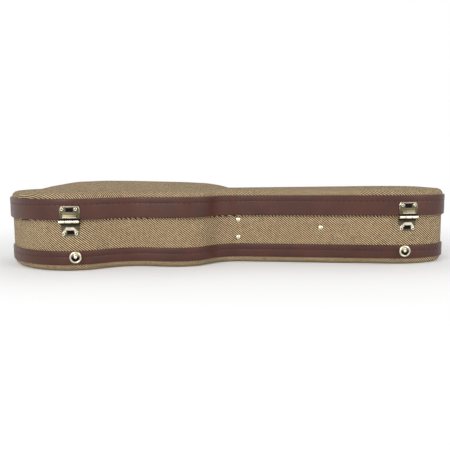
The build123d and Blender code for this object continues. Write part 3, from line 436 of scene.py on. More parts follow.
class Finish:
    """A node material under construction."""

    def __init__(self, name: str) -> None:
        """Starts the material with an empty shader.

        Args:
            name: Name of the material.
        """
        self.material = bpy.data.materials.new(name)
        self.material.use_nodes = True
        self.tree = self.material.node_tree
        self.shader = self.tree.nodes["Principled BSDF"]

    def node(self, kind: str, **values: object) -> bpy.types.Node:
        """Adds a node and sets its properties and input values.

        Args:
            kind: Blender's type name of the node.
            **values: Properties by name, or inputs by name with spaces as underscores.

        Returns:
            The node.
        """
        made = self.tree.nodes.new(kind)
        for key, value in values.items():
            if hasattr(made, key):
                setattr(made, key, value)
            else:
                made.inputs[key.replace("_", " ")].default_value = value
        return made

    def link(self, source: Socket, target: Socket) -> None:
        """Joins two sockets."""
        self.tree.links.new(source, target)

    def set(self, **values: object) -> None:
        """Sets the shader's own inputs by name, with spaces as underscores."""
        for key, value in values.items():
            self.shader.inputs[key.replace("_", " ")].default_value = value

    def math(self, kind: str, first: object, second: object = 0.0, third: object = 0.0) -> Socket:
        """One step of arithmetic.

        Args:
            kind: Blender's name of the operation.
            first: Number or socket.
            second: Number or socket.
            third: Number or socket.

        Returns:
            The result's socket.
        """
        made = self.node("ShaderNodeMath", operation=kind)
        for slot, value in zip(made.inputs, (first, second, third)):
            if isinstance(value, Socket):
                self.link(value, slot)
            else:
                slot.default_value = value
        return made.outputs[0]

    def mix(self, factor: Socket, first: object, second: object) -> Socket:
        """Mixes two colours, given as sockets or as red, green and blue.

        Args:
            factor: Share of the second.
            first: First colour.
            second: Second colour.

        Returns:
            The mixed colour's socket.
        """
        made = self.node("ShaderNodeMix", data_type="RGBA")
        self.link(factor, made.inputs[0])
        for slot, value in ((made.inputs[6], first), (made.inputs[7], second)):
            if isinstance(value, Socket):
                self.link(value, slot)
            else:
                slot.default_value = (*value, 1.0)
        return made.outputs[2]

    def noise(self, vector: Socket, scale: float, detail: float = 2.0) -> Socket:
        """Soft noise from 0 to 1 at a scale per metre."""
        made = self.node("ShaderNodeTexNoise", Scale=scale, Detail=detail)
        self.link(vector, made.inputs["Vector"])
        return made.outputs["Fac"]

    def place(self) -> Socket:
        """The place on the piece in metres."""
        return self.node("ShaderNodeTexCoord").outputs["Object"]

    def ramp(self, value: Socket, span: tuple[float, float], to: tuple[float, float] = (0.0, 1.0)) -> Socket:
        """Maps a value from one span to another and holds it there.

        Args:
            value: The value's socket.
            span: Where it starts and ends.
            to: What these places become.

        Returns:
            The mapped value's socket.
        """
        made = self.node("ShaderNodeMapRange", From_Min=span[0], From_Max=span[1], To_Min=to[0], To_Max=to[1])
        self.link(value, made.inputs["Value"])
        return made.outputs[0]

    def along(self, coords: Socket, way: Colour) -> Socket:
        """How far a place lies along a direction, which also holds the scale."""
        made = self.node("ShaderNodeVectorMath", operation="DOT_PRODUCT")
        made.inputs[1].default_value = way
        self.link(coords, made.inputs[0])
        return made.outputs["Value"]

    def cell(self, first: Socket, second: Socket) -> Socket:
        """Soft noise over a place given by two values."""
        made = self.node("ShaderNodeCombineXYZ")
        self.link(first, made.inputs[0])
        self.link(second, made.inputs[1])
        return self.noise(made.outputs[0], 1.0, 1.0)

    def bump(self, height: Socket, distance: float, strength: float = 1.0) -> None:
        """Roughens the surface by a height and a distance in metres."""
        made = self.node("ShaderNodeBump", Distance=distance, Strength=strength)
        self.link(height, made.inputs["Height"])
        self.link(made.outputs["Normal"], self.shader.inputs["Normal"])


@dataclass(frozen=True)
class TweedCloth:
    """Diagonal tweed: fat tan yarns lying side by side with brown gaps between them."""

    name: str = "tweed_cloth"
    slope: float = 0.79
    pitch: float = 0.0026
    yarn: Colour = (0.66, 0.485, 0.27)
    pale: Colour = (0.78, 0.61, 0.39)
    gap: Colour = (0.03, 0.016, 0.008)
    dirt: Colour = (0.36, 0.27, 0.14)
    wander: float = 0.08
    gap_edge: tuple[float, float] = (0.68, 0.93)
    pale_edge: tuple[float, float] = (0.50, 0.72)
    dirt_share: float = 0.22

    def build(self) -> Material:
        """Makes the material from the piece's own pattern places, which are metres along the cloth."""
        made = Finish(self.name)
        coords = made.node("ShaderNodeUVMap", uv_map="cloth").outputs["UV"]
        size = math.hypot(1.0, self.slope) * self.pitch
        across = made.along(coords, (-self.slope / size, 1 / size, 0))
        along = made.along(coords, (1 / size, self.slope / size, 0))
        place = made.math("MULTIPLY_ADD", made.noise(coords, 260.0), self.wander, across)
        share, row = made.math("FRACT", place), made.math("FLOOR", place)
        ridge = made.math("SINE", made.math("MULTIPLY", share, math.pi))
        slub = made.cell(made.math("MULTIPLY", along, 0.55), made.math("MULTIPLY", row, 3.7))
        turned = made.math("MULTIPLY_ADD", share, 0.8, made.math("MULTIPLY", along, 0.7))
        twist = made.cell(turned, made.math("MULTIPLY", row, 1.3))
        lit = made.ramp(made.math("MULTIPLY", ridge, made.math("MULTIPLY_ADD", slub, 0.3, 0.82)), self.gap_edge)
        yarn = made.mix(made.ramp(twist, self.pale_edge), self.yarn, self.pale)
        dirty = made.ramp(made.noise(coords, 18.0, 3.0), (0.3, 0.75), (0.0, self.dirt_share))
        colour = made.mix(lit, self.gap, made.mix(dirty, yarn, self.dirt))
        made.link(colour, made.shader.inputs["Base Color"])
        made.set(Roughness=0.82, Specular_IOR_Level=0.25)
        made.bump(made.math("MULTIPLY_ADD", twist, 0.4, ridge), 0.0005, 0.7)
        return made.material


@dataclass(frozen=True)
class Leather:
    """Smooth dyed leather with a fine grain and soft creases."""

    name: str
    colour: Colour = (0.072, 0.024, 0.015)
    dark: Colour = (0.050, 0.018, 0.013)
    roughness: float = 0.36
    grain_depth: float = 0.00022

    def build(self) -> Material:
        """Makes the material from places on the piece: broad clouds of dye and a pebbled grain."""
        made = Finish(self.name)
        place = made.place()
        cloud = made.ramp(made.noise(place, 30.0, 4.0), (0.35, 0.7))
        made.link(made.mix(cloud, self.colour, self.dark), made.shader.inputs["Base Color"])
        grain = made.node("ShaderNodeTexVoronoi", Scale=900.0)
        made.link(place, grain.inputs["Vector"])
        crease = made.noise(place, 140.0, 4.0)
        height = made.math("MULTIPLY_ADD", crease, 1.6, grain.outputs["Distance"])
        span = (self.roughness - 0.08, self.roughness + 0.14)
        made.link(made.ramp(made.noise(place, 90.0, 3.0), (0.0, 1.0), span), made.shader.inputs["Roughness"])
        made.set(Specular_IOR_Level=0.30)
        made.bump(height, self.grain_depth, 0.55)
        return made.material


@dataclass(frozen=True)
class PlatedMetal:
    """Pale gold plating with random smudges, darkened by painted dark reflection and painted shade where the mark
    attribute is high.
    """

    name: str
    colour: Colour = (0.86, 0.79, 0.62)
    # Colour of random smudges and of the painted dark reflection that stands in for a dark room mirrored in the
    # plating.
    smudge_and_painted_reflection: Colour = (0.125, 0.105, 0.06)
    # Painted near-black shade for recesses, hollows and the tongues under the knuckles.
    painted_deep_shade: Colour = (0.012, 0.009, 0.012)
    roughness: float = 0.18

    def build(self) -> Material:
        """Makes the material: bright plating where the mark is 0, painted dark reflection at a half, painted
        near-black shade at 1.
        """
        made = Finish(self.name)
        place = made.place()
        mark = made.node("ShaderNodeAttribute", attribute_name="mark").outputs["Fac"]
        cloud = made.ramp(made.noise(place, 160.0, 3.0), (0.42, 0.75), (0.0, 0.22))
        share = made.math("MAXIMUM", mark, cloud)
        # Painted dark reflection and smudges up to a half, painted near-black shade above it.
        darkened = made.mix(made.ramp(share, (0.0, 0.5)), self.colour, self.smudge_and_painted_reflection)
        made.link(made.mix(made.ramp(share, (0.5, 1.0)), darkened, self.painted_deep_shade), made.shader.inputs["Base Color"])
        rough = made.math("MULTIPLY_ADD", share, 0.3, self.roughness)
        made.link(rough, made.shader.inputs["Roughness"])
        made.set(Metallic=1.0)
        return made.material


@dataclass(frozen=True)
class Cloth:
    """Plain dyed cloth: plush, ribbon, thread or covered board."""

    name: str
    colour: Colour
    dark: Colour
    roughness: float = 0.9
    sheen: float = 0.0
    scale: float = 700.0
    depth: float = 0.0002

    def build(self) -> Material:
        """Makes the material from places on the piece: a fine nap under soft clouds."""
        made = Finish(self.name)
        place = made.place()
        cloud = made.noise(place, 45.0, 4.0)
        nap = made.noise(place, self.scale, 3.0)
        share = made.math("MULTIPLY_ADD", nap, 0.5, made.math("MULTIPLY", cloud, 0.5))
        made.link(made.mix(share, self.dark, self.colour), made.shader.inputs["Base Color"])
        made.set(Roughness=self.roughness, Specular_IOR_Level=0.2)
        if self.sheen:
            made.set(Sheen_Weight=self.sheen, Sheen_Roughness=0.4)
        made.bump(nap, self.depth, 0.6)
        return made.material


@dataclass
class Finishes:
    """All finishes of the case, made once."""

    tweed: Material = field(default_factory=lambda: TweedCloth().build())
    leather: Material = field(default_factory=lambda: Leather("band_leather").build())
    metal: Material = field(default_factory=lambda: PlatedMetal("plated_metal").build())
    steel: Material = field(
        default_factory=lambda: PlatedMetal("drawn_steel", (0.62, 0.62, 0.62), (0.3, 0.3, 0.3), roughness=0.3).build()
    )
    plush: Material = field(
        default_factory=lambda: Cloth(
            "plush_lining", (0.33, 0.11, 0.085), (0.15, 0.045, 0.04), sheen=0.6, depth=0.0005
        ).build()
    )
    thread: Material = field(
        default_factory=lambda: Cloth(
            "waxed_thread", (0.045, 0.02, 0.024), (0.02, 0.01, 0.014), 0.5, scale=1500.0
        ).build()
    )
    ribbon: Material = field(
        default_factory=lambda: Cloth(
            "woven_ribbon", (0.2, 0.08, 0.07), (0.1, 0.04, 0.035), 0.6, scale=1200.0
        ).build()
    )


def dress(piece: bpy.types.Object, body: str, slot: str, *nodes: str) -> bpy.types.Object:
    """Lets a piece ride on its body and hides the CAD nodes it stands for.

    Args:
        piece: The new piece.
        body: CAD body it moves with.
        slot: Material slot of the record; not used.
        *nodes: CAD nodes that it replaces.

    Returns:
        The piece.
    """
    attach(piece, body)
    if nodes:
        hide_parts(*nodes)
    LOG.info("%s on %s: %d faces", piece.name, body, len(piece.data.polygons))
    return piece


@dataclass
class TweedShells:
    """Tray and lid: cloth-covered plywood shells with rounded edges, the lid with its arched crown."""

    wall: WallLine
    finishes: Finishes
    thickness: float = 4.5
    edge_radius: float = 9.0
    lid_low: float = 71.3
    lid_top: float = 111.5
    overhang: float = 1.0
    crown: tuple[tuple[float, float, float], ...] = (
        (-318.0, 60.0, -1.5), (-300.0, 46.0, 0.8), (-276.0, 30.0, 6.5), (-240.0, 20.0, 12.6), (-195.0, 17.0, 14.2),
        (-150.0, 15.0, 13.6), (-110.0, 15.0, 12.4), (-66.0, 16.0, 11.0), (-30.0, 16.0, 9.0), (-8.0, 18.0, 5.5),
        (8.0, 20.0, 0.8), (18.0, 22.0, -1.5),
    )
    crown_root: float = 1.5
    softness: float = 0.35

    def rise(self, level: np.ndarray) -> np.ndarray:
        """Height of the crown over the flat top: a parabola across the case, eased into the flat.

        Args:
            level: Points with x and y in mm.

        Returns:
            Heights in mm.
        """
        table = np.array(self.crown)
        fine = np.linspace(table[0, 0], table[-1, 0], 400)
        kernel = np.hanning(31)
        kernel = kernel / kernel.sum()
        columns = [np.interp(fine, table[:, 0], table[:, k]) for k in (1, 2)]
        inset, top = (np.convolve(np.pad(c, 15, mode="edge"), kernel, mode="valid") for c in columns)
        x, y = level[..., 0], level[..., 1]
        half = np.interp(x, self.wall.half_x, self.wall.half_y) - np.interp(x, fine, inset)
        peak = np.interp(x, fine, top) + self.crown_root
        arch = peak * (1 - (y / np.maximum(half, 5.0)) ** 2) - self.crown_root
        arch = np.maximum(arch, -8.0)
        eased = 0.5 * (arch + np.sqrt(arch * arch + self.softness**2)) - 0.05
        return np.maximum(eased * smooth((x + 330.0) / 25.0) * smooth((30.0 - x) / 14.0), 0.0)

    def thicken(self, piece: bpy.types.Object) -> None:
        """Gives the shell its plywood, lined inside."""
        piece.data.materials.append(self.finishes.plush)
        wall = piece.modifiers.new("plywood", "SOLIDIFY")
        wall.thickness = self.thickness * METRE
        wall.offset = -1.0
        wall.material_offset = 1
        wall.material_offset_rim = 1

    def lid(self) -> None:
        """Builds the lid: up the wall, over the quarter-round edge, and in to the spine under the crown."""
        turn = np.linspace(0, np.pi / 2, 9)
        flat_inset = self.edge_radius - self.overhang
        side = np.linspace(self.lid_low, self.lid_top - self.edge_radius, 6)[:-1]
        out = np.concatenate([np.full(len(side), self.overhang), self.edge_radius * np.cos(turn) - flat_inset])
        height = np.concatenate([side, self.lid_top - self.edge_radius + self.edge_radius * np.sin(turn)])
        spread = np.concatenate([self.edge_radius * np.pi / 2 + self.lid_top - self.edge_radius - side,
                                 self.edge_radius * (np.pi / 2 - turn)])
        rolled = self.wall.spot(self.wall.run[:, None], out[None], height[None])
        unrolled = self.wall.spot(self.wall.run[:, None], (spread - flat_inset)[None], height[None] * 0)
        shares = (np.arange(1, 31) / 30.0) ** 1.25
        level, _ = self.wall.fan(flat_inset, shares)
        points = np.concatenate([rolled, lifted(level, self.lid_top + self.rise(level))], 1)
        flat = np.concatenate([unrolled[..., :2], level], 1)
        skin = Surface()
        skin.grid(points, np.stack([-flat[..., 0], flat[..., 1]], -1))
        piece = skin.build("lid_shell", self.finishes.tweed, closed=False)
        self.thicken(piece)
        dress(piece, "lid", "tweed", "lid_panel", *(f"lid_rim_{strip}" for strip in STRIPS))

    def tray(self) -> None:
        """Builds the tray: out from the spine over the bottom, round the edge, and up the wall to the split."""
        shares = np.linspace(1, 0, 9)
        level, _ = self.wall.fan(self.edge_radius, shares)
        turn = np.linspace(-np.pi / 2, 0, 9)
        side = np.linspace(self.edge_radius, self.wall.plan.split, 9)[1:]
        out = np.concatenate([self.edge_radius * (np.cos(turn) - 1), np.zeros(len(side))])
        height = np.concatenate([self.edge_radius * (1 + np.sin(turn)), side])
        points, uv = self.wall.sweep(np.stack([out, height], -1))
        skin = Surface()
        skin.grid(lifted(level, np.zeros(level.shape[:2])), np.stack([-level[..., 0], level[..., 1]], -1))
        skin.grid(points, uv)
        piece = skin.build("tray_shell", self.finishes.tweed, closed=False)
        self.thicken(piece)
        dress(piece, "tray", "tweed", "bottom_panel", "body_rim")

    def build(self) -> None:
        """Builds both shells."""
        self.lid()
        self.tray()


@dataclass
class LeatherBand:
    """A sewn leather band round a shell, with its row of stitches in a pressed groove."""

    wall: WallLine
    finishes: Finishes
    name: str
    body: str
    node: str
    low: float
    high: float
    inner: float
    outer: float
    stitch_drop: float
    pitch: float = 8.1
    edge: float = 1.1
    groove: float = 0.18
    groove_half: float = 1.3
    swell: float = 0.35
    sunk: float = 0.4
    stitch_length: float = 1.62
    stitch_half: float = 0.8
    stitch_rise: float = 0.4

    def face(self, height: np.ndarray) -> np.ndarray:
        """Distance out of the leather's face at a height: a slight swell on both sides of the groove.

        Args:
            height: Heights in mm.

        Returns:
            Distances in mm.
        """
        seam = self.high - self.stitch_drop
        pressed = np.exp(-(((height - seam) / self.groove_half) ** 2))
        upper = np.sin(np.pi * np.clip((height - seam) / (self.high - seam), 0, 1))
        lower = np.sin(np.pi * np.clip((height - self.low) / (seam - self.low), 0, 1))
        return self.outer + self.swell * (upper * 0.8 + lower * 0.5) - self.groove * pressed - self.sunk

    def build(self) -> None:
        """Builds the band from its closed profile, and its stitches as small flattened beads."""
        seam = self.high - self.stitch_drop
        height = np.unique(np.concatenate([
            np.linspace(self.low + self.edge, self.high - self.edge, 15), seam + np.linspace(-2, 2, 11)]))
        out = self.face(height)
        turn = np.linspace(np.pi / 7, np.pi / 2, 4)
        inwards, short = self.edge * (1 - np.cos(turn)), self.edge * (1 - np.sin(turn))
        top = np.stack([out[-1] - inwards, self.high - short], -1)
        base = np.stack([out[0] - inwards, self.low + short], -1)[::-1]
        back = np.array([[self.inner, self.high], [self.inner, self.low]])
        profile = np.concatenate([base, np.stack([out, height], -1), top, back, base[:1]])
        strip = Surface()
        strip.grid(*self.wall.sweep(profile))
        dress(strip.build(self.name, self.finishes.leather, sharp=50.0), self.body, "leather", self.node)

        total = self.wall.run[-1]
        count = round(total / self.pitch)
        middle = (np.arange(count) + 0.5) * total / count
        rows, cols = np.linspace(-1, 1, 7), np.linspace(0, 2 * np.pi, 9)
        reach = np.sqrt(np.maximum(1 - rows**4, 0))[:, None]
        run = middle[:, None, None] + self.stitch_length * rows[None, :, None] + 0 * cols
        bead = self.face(np.array(seam)) + 0.05 + self.stitch_rise * reach * np.cos(cols)[None]
        lift = seam + self.stitch_half * reach * np.sin(cols)[None]
        stitches = Surface()
        stitches.grids(self.wall.spot(run, bead[None], lift[None]))
        dress(stitches.build(f"{self.name}_stitches", self.finishes.thread, sharp=180.0), self.body, "leather")


@dataclass
class Fittings:
    """Stamped hinges, turned feet and every rivet."""

    wall: WallLine
    finishes: Finishes
    hinge_half: float = 13.3
    hinge_shift: float = 0.9
    hinge_reach: float = 21.5
    sheet: float = 1.2
    barrel: float = 2.2
    barrel_out: float = 6.6
    lid_face: float = 4.2
    rivet_spread: float = 17.4
    rivet_edge: float = 3.9
    wall_rivets: tuple[tuple[float, float], ...] = ((19.0, 65.6), (19.0, 38.8), (142.4, 54.4))
    foot_places: tuple[float, float] = (-213.0, 263.0)
    foot_height: float = 20.9
    # Third column: painted shade in the foot's hollow ring.
    foot_profile: tuple[tuple[float, float, float], ...] = (
        (0.0, 2.0, 0), (8.3, 2.0, 0), (8.8, 2.6, 0), (8.85, 4.6, 0), (8.7, 5.9, 0), (8.2, 7.0, 0), (7.5, 7.7, 0),
        (6.8, 7.9, 0.05), (6.1, 7.6, 0.35), (5.5, 6.7, 0.95), (5.0, 5.7, 1), (4.4, 5.1, 1), (3.6, 5.0, 1),
        (3.0, 5.4, 1), (2.7, 6.2, 0.8), (2.4, 7.0, 0.2), (1.9, 7.7, 0), (1.0, 8.1, 0), (0.0, 8.2, 0),
    )
    # Third column: painted shade in the eyelet's hollow centre and at its foot, none on the bright ring.
    eyelet: tuple[tuple[float, float, float], ...] = (
        (0.0, -0.5, 0), (2.5, -0.5, 0.3), (2.5, 0.3, 0.1), (2.35, 0.8, 0), (1.95, 1.15, 0), (1.5, 1.2, 0.1),
        (1.05, 0.95, 0.5), (0.75, 0.55, 0.75), (0.0, 0.45, 0.75),
    )
    # Third column: painted shade and dark reflection, slight on top of the dome and more towards its foot.
    dome: tuple[tuple[float, float, float], ...] = (
        (0.0, -0.6, 0.3), (4.1, -0.6, 0.3), (4.15, 0.3, 0.28), (3.9, 1.0, 0.2), (3.3, 1.65, 0.14), (2.3, 2.15, 0.1),
        (1.2, 2.42, 0.1), (0.0, 2.5, 0.1),
    )

    @staticmethod
    def window(away: np.ndarray, side: np.ndarray, start: float, end: float) -> np.ndarray:
        """Stamped window of a leaf, 1 inside: between two distances from the barrel and near the middle.

        Args:
            away: Distances from the barrel.
            side: Distances from the leaf's middle line.
            start: Nearest distance from the barrel.
            end: Farthest distance from the barrel.

        Returns:
            Depths as a share, eased over 0.6 mm.
        """
        half = 5.2
        return smooth(np.minimum(np.minimum(half - side, away - start), end - away) / 0.6)

    def stamp_lid(self, away: np.ndarray, side: np.ndarray) -> tuple[np.ndarray, ...]:
        """Relief of the lid's leaf: a bar near the barrel with a painted highlight on its crest, and a window.

        Args:
            away: Distances from the barrel.
            side: Distances from the leaf's middle line.

        Returns:
            Height over the sheet, share of painted shade and painted dark reflection, and the window.
        """
        bar = smooth(np.minimum((away - 4.3) / 1.2, 9.6 - side))
        raised = 2.0 * bar * (0.45 + 0.55 * smooth((10.5 - away) / 4.5)) * smooth((12.4 - away) / 1.2)
        # Painted highlight on the bar's crest; painted dark reflection over the rest of the leaf, and painted shade
        # next to the barrel.
        lit = smooth(np.minimum((away - 4.6) / 0.5, (6.7 - away) / 0.7)) * smooth((9.9 - side) / 0.8)
        darkened = 0.52 - 0.52 * lit + 0.48 * smooth((4.5 - away) / 0.5)
        return raised, darkened, self.window(away, side, 13.2, 19.4)

    def stamp_tray(self, away: np.ndarray, side: np.ndarray) -> tuple[np.ndarray, ...]:
        """Relief of the tray's leaf: a ridge, then a frame that flares away from the barrel, both bright with painted
        highlights.

        Args:
            away: Distances from the barrel.
            side: Distances from the leaf's middle line.

        Returns:
            Height over the sheet, share of painted shade and painted dark reflection, and the window.
        """
        flare = 5.4 + 0.80 * np.clip(away - 7.2, 0, 8.0)
        frame_top = smooth(np.minimum((away - 7.0) / 0.9, (flare - side) / 1.2)) * smooth((16.2 - away) / 1.4)
        raised = 2.6 * frame_top * (1 - 0.45 * smooth((away - 9.0) / 6.0)) + 1.5 * smooth((6.4 - away) / 1.2)
        # Band of painted highlight along the ridge.
        ridge = smooth(np.minimum((away - 4.9) / 0.4, (6.6 - away) / 0.5))
        # Painted dark reflection over the flat leaf, painted shade next to the barrel, painted highlights on the
        # ridge and the frame.
        darkened = 0.55 + 0.4 * smooth((7.2 - away) / 0.5) - 0.5 * ridge - frame_top * smooth((15.9 - away) / 0.8)
        return raised, np.clip(darkened, 0.0, 1.0), self.window(away, side, 12.3, 18.6)

    def hinge_leaf(self, x: float, upper: bool) -> Surface:
        """One stamped leaf as a height over the wall, worked out from the distance to the barrel and the side.

        Args:
            x: Place of the hinge.
            upper: Whether it is the lid's leaf.

        Returns:
            The leaf with its knuckles.
        """
        leaf = Surface()
        split, seat = self.wall.plan.split, self.lid_face if upper else 0.0
        sign = 1.0 if upper else -1.0
        middle = self.wall.run_at(x + (self.hinge_shift if x < 0 else 0.0), Side.HINGE)
        away = np.linspace(2.6, self.hinge_reach, 64)[None, :]
        clip = 3.2 * np.clip((away - self.hinge_reach + 3.2) / 3.2, 0, 1) * (1.0 if not upper else 0.55)
        half = self.hinge_half - 0.4 - clip
        across = np.linspace(-1, 1, 72)[:, None] * half
        side = np.abs(across)
        raised, darkened, recess = (self.stamp_lid if upper else self.stamp_tray)(away, side)
        rim = np.minimum(half - side, self.hinge_reach - away)
        height = self.sheet + raised - (0.6 + 0.7 * raised) * recess - 0.35 * (1 - smooth(rim / 0.6))
        # Painted highlight along the leaf's outer edges, and painted near-black shade in the recessed window.
        darkened = np.maximum(darkened - 0.42 * (1 - smooth(rim / 0.8)) * (away > 12), recess)
        level = split + sign * away + 0 * across
        top = self.wall.spot(middle + across, seat + height, level)
        back = self.wall.spot(middle + across, np.full_like(height, seat - 0.3), level)
        leaf.slab(top, back, darkened)
        point, outward, along = self.wall.frame_at(x, Side.HINGE, split, self.barrel_out)
        knuckles = ((-9.6, 8.6), (9.6, 8.6)) if upper else ((0.0, 9.8),)
        for shift, width in knuckles:
            half_width = width / 2
            ends = np.array([(0, half_width), (1.8, half_width), (self.barrel, half_width - 0.5)])
            leaf.lathe(point + along * shift, along, np.concatenate([ends * (1, -1), ends[::-1]]), 32)
            tongue = np.linspace(0.5, 4.4, 6)[None, :]
            run = middle + shift + np.linspace(-half_width + 0.2, half_width - 0.2, 8)[:, None] + 0 * tongue
            lift = self.sheet if upper else self.barrel_out - 0.6
            level = split + sign * tongue + 0 * run
            front, foot = (self.wall.spot(run, seat + high, level) for high in (lift, 0.05))
            # Painted near-black shade on the tongues under the knuckles.
            leaf.slab(front, foot, 0 * run + 0.95)
        return leaf

    def rivets(self, name: str, body: str, spots: list, profile: tuple, *nodes: str) -> None:
        """Turned rivet heads standing square to the wall.

        Args:
            name: Name of the piece.
            body: CAD body.
            spots: Place along the case, side, height and distance out of each.
            profile: Rows of radius, height and share of painted shade.
            *nodes: CAD nodes that the piece stands for.
        """
        heads = Surface()
        for x, side, height, out in spots:
            point, outward, _ = self.wall.frame_at(x, side, height, out)
            heads.lathe(point, outward, np.array(profile, float), 28, lower_only=profile is self.foot_profile)
        dress(heads.build(name, self.finishes.metal, sharp=60.0), body, "metal", *nodes)

    def build(self) -> None:
        """Builds the hinges, the feet and all rivets."""
        split, places = self.wall.plan.split, tuple(FITTING_PLACES.values())
        for name, x in FITTING_PLACES.items():
            for upper, body, node in ((True, "lid", "lid_leaf"), (False, "tray", "body_leaf")):
                piece = self.hinge_leaf(x, upper).build(f"stamped_{name}_{node}", self.finishes.metal, sharp=38.0)
                dress(piece, body, "metal", f"hinge_{name}_{node}")
        reach, half = self.hinge_reach - self.rivet_edge, self.rivet_spread / 2
        lid_out, tray_out = self.lid_face + self.sheet - 0.2, self.sheet - 0.2
        rows = (
            ("turned_hinge_lid_rivets", "lid", Side.HINGE, split + reach, lid_out, half, "hinge_lid_rivets"),
            ("turned_hinge_body_rivets", "tray", Side.HINGE, split - reach, tray_out, half, "hinge_body_rivets"),
            ("turned_latch_rivets", "tray", Side.LATCH, 37.6, 1.0, 9.5, "latch_base_rivets"),
            ("turned_catch_rivets", "lid", Side.LATCH, 95.4, 5.2, 4.5, "catch_rivets"),
        )
        for name, body, side, height, out, spread, node in rows:
            spots = [(x + shift, side, height, out) for x in places for shift in (-spread, spread)]
            self.rivets(name, body, spots, self.eyelet, node)
        walls = [(x, side, height, -0.1) for side in Side for x, height in self.wall_rivets]
        self.rivets("domed_wall_rivets", "tray", walls, self.dome, "compartment_rivets")
        brackets = [(x, Side.LATCH, height, 1.2) for x in (-155.0, -45.0) for height in (44.25, 63.75)]
        self.rivets("turned_bracket_rivets", "tray", brackets, self.eyelet, "handle_bracket_rivets")
        feet = [(x, Side.HINGE, self.foot_height, 0.0) for x in self.foot_places]
        self.rivets("turned_feet", "tray", feet, self.foot_profile, "foot_left", "foot_right", "foot_studs")


def rounded(corners: np.ndarray, radius: float, closed: bool, steps: int = 8) -> np.ndarray:
    """Rounds the corners of a path with parabolas that touch both sides a radius from the corner.

    Args:
        corners: Points of the path in mm.
        radius: Distance from a corner where its curve starts.
        closed: Whether the path ends where it starts.
        steps: Points on each curve.

    Returns:
        The rounded path.
    """
    before, after = np.roll(corners, 1, 0), np.roll(corners, -1, 0)
    start = corners + radius * (before - corners) / np.linalg.norm(before - corners, axis=1)[:, None]
    end = corners + radius * (after - corners) / np.linalg.norm(after - corners, axis=1)[:, None]
    share = np.linspace(0, 1, steps)[None, :, None]
    curves = (1 - share) ** 2 * start[:, None] + 2 * share * (1 - share) * corners[:, None] + share**2 * end[:, None]
    if closed:
        return curves.reshape(-1, 3)
    return np.concatenate([corners[:1], curves[1:-1].reshape(-1, 3), corners[-1:]])


@dataclass
class Carrying:
    """Handle and wire bails on the latch side."""

    wall: WallLine
    finishes: Finishes
    middle: float = -100.0
    span: float = 110.0
    pivot: tuple[float, float] = (102.0, 54.0)
    lean: float = 25.0
    loop_wire: float = 1.7
    loop_half: float = 8.2
    loop_reach: float = 13.0
    loop_corner: float = 4.4
    grip_reach: float = 27.0
    grip_start: float = 7.4
    grip_thin: float = 5.7
    grip_thick: float = 8.0
    bail_height: float = 51.0
    bail_out: float = 4.9
    bail_reach: float = 33.0
    bail_half: float = 11.3
    bail_eye: float = 8.4
    bail_wire: float = 1.1
    bail_corner: float = 1.4

    def loops(self, origin: np.ndarray, away: np.ndarray, square: np.ndarray) -> None:
        """Builds the two wire loops between the brackets and the grip.

        Args:
            origin: Middle of the pivot line.
            away: Direction in which the handle hangs.
            square: Direction square to the handle's plane.
        """
        half, reach = self.loop_half, self.loop_reach
        wires = Surface()
        for end in (-self.span / 2, self.span / 2):
            flat = np.array([(half, 0), (half, reach), (-half, reach), (-half, 0)]) + (end, 0)
            corners = origin + flat[:, :1] * (1.0, 0.0, 0.0) + flat[:, 1:] * away
            path = rounded(corners, self.loop_corner, True)
            wires.tube(path, square, np.full(len(path), self.loop_wire), True)
        dress(wires.build("wire_handle_loops", self.finishes.metal), "handle", "metal", "handle_loops")

    def grip(self, origin: np.ndarray, away: np.ndarray, square: np.ndarray) -> None:
        """Builds the padded grip, a bar along a flattened arch that thins to rounded ends, and its stitches.

        Args:
            origin: Middle of the pivot line.
            away: Direction in which the handle hangs.
            square: Direction square to the handle's plane.
        """
        turn = np.linspace(np.pi, 0, 121)
        across = self.span / 2 * np.sign(np.cos(turn)) * np.abs(np.cos(turn)) ** 0.5
        drop = self.grip_start + (self.grip_reach - self.grip_start) * np.abs(np.sin(turn)) ** 0.5
        path = origin + across[:, None] * (1.0, 0.0, 0.0) + away * drop[:, None]
        thick = self.grip_thin + (self.grip_thick - self.grip_thin) * smooth((np.sin(turn) - 0.25) / 0.35)
        run = np.concatenate([[0], np.cumsum(np.linalg.norm(np.diff(path, axis=0), axis=1))])
        thick = thick * dome_over(np.minimum(run, run[-1] - run) / 4.5)
        bar = Surface()
        bar.tube(path, square, thick, False, 28)
        dress(bar.build("padded_grip", self.finishes.leather), "handle", "leather", "handle_grip")

        along = np.gradient(path, axis=0)
        outer = np.cross(square, along / np.linalg.norm(along, axis=1)[:, None])
        ridge = path - outer * (thick[:, None] - 0.35)
        seam = Surface()
        for low in np.linspace(24, 96, 15).astype(int):
            bead = ridge[[low - 1, low - 1, low, low + 1, low + 1]]
            seam.tube(bead, square, np.array([0.0, 0.7, 0.8, 0.7, 0.0]), False, 8)
        dress(seam.build("grip_stitches", self.finishes.thread, sharp=180.0), "handle", "leather")

    def bail(self, name: str, x: float) -> None:
        """Builds one wire bail, hanging from its lever.

        Args:
            name: Side of the case's front that it is on.
            x: Place of its latch.
        """
        point, outward, along = self.wall.frame_at(x, Side.LATCH, self.bail_height, self.bail_out)
        half, drop = self.bail_half, -self.bail_reach
        flat = ((-self.bail_eye, 0), (-half, 0), (-half, drop), (half, drop), (half, 0), (self.bail_eye, 0))
        path = rounded(np.array([point + along * a + UP * b for a, b in flat]), self.bail_corner, False)
        size = np.full(len(path), self.bail_wire)
        size[[0, -1]] = 0.0
        wire = Surface()
        wire.tube(path, outward, size, False, 14)
        dress(wire.build(f"wire_{name}_bail", self.finishes.metal), f"{name}_bail", "metal", f"latch_{name}_bail")

    def build(self) -> None:
        """Builds the handle and both bails."""
        lean = math.radians(self.lean)
        away = np.array([0, math.sin(lean), -math.cos(lean)])
        hang = (np.array([self.middle, *self.pivot]), away, np.cross((1.0, 0.0, 0.0), away))
        self.loops(*hang)
        self.grip(*hang)
        for name, x in FITTING_PLACES.items():
            self.bail(name, x)


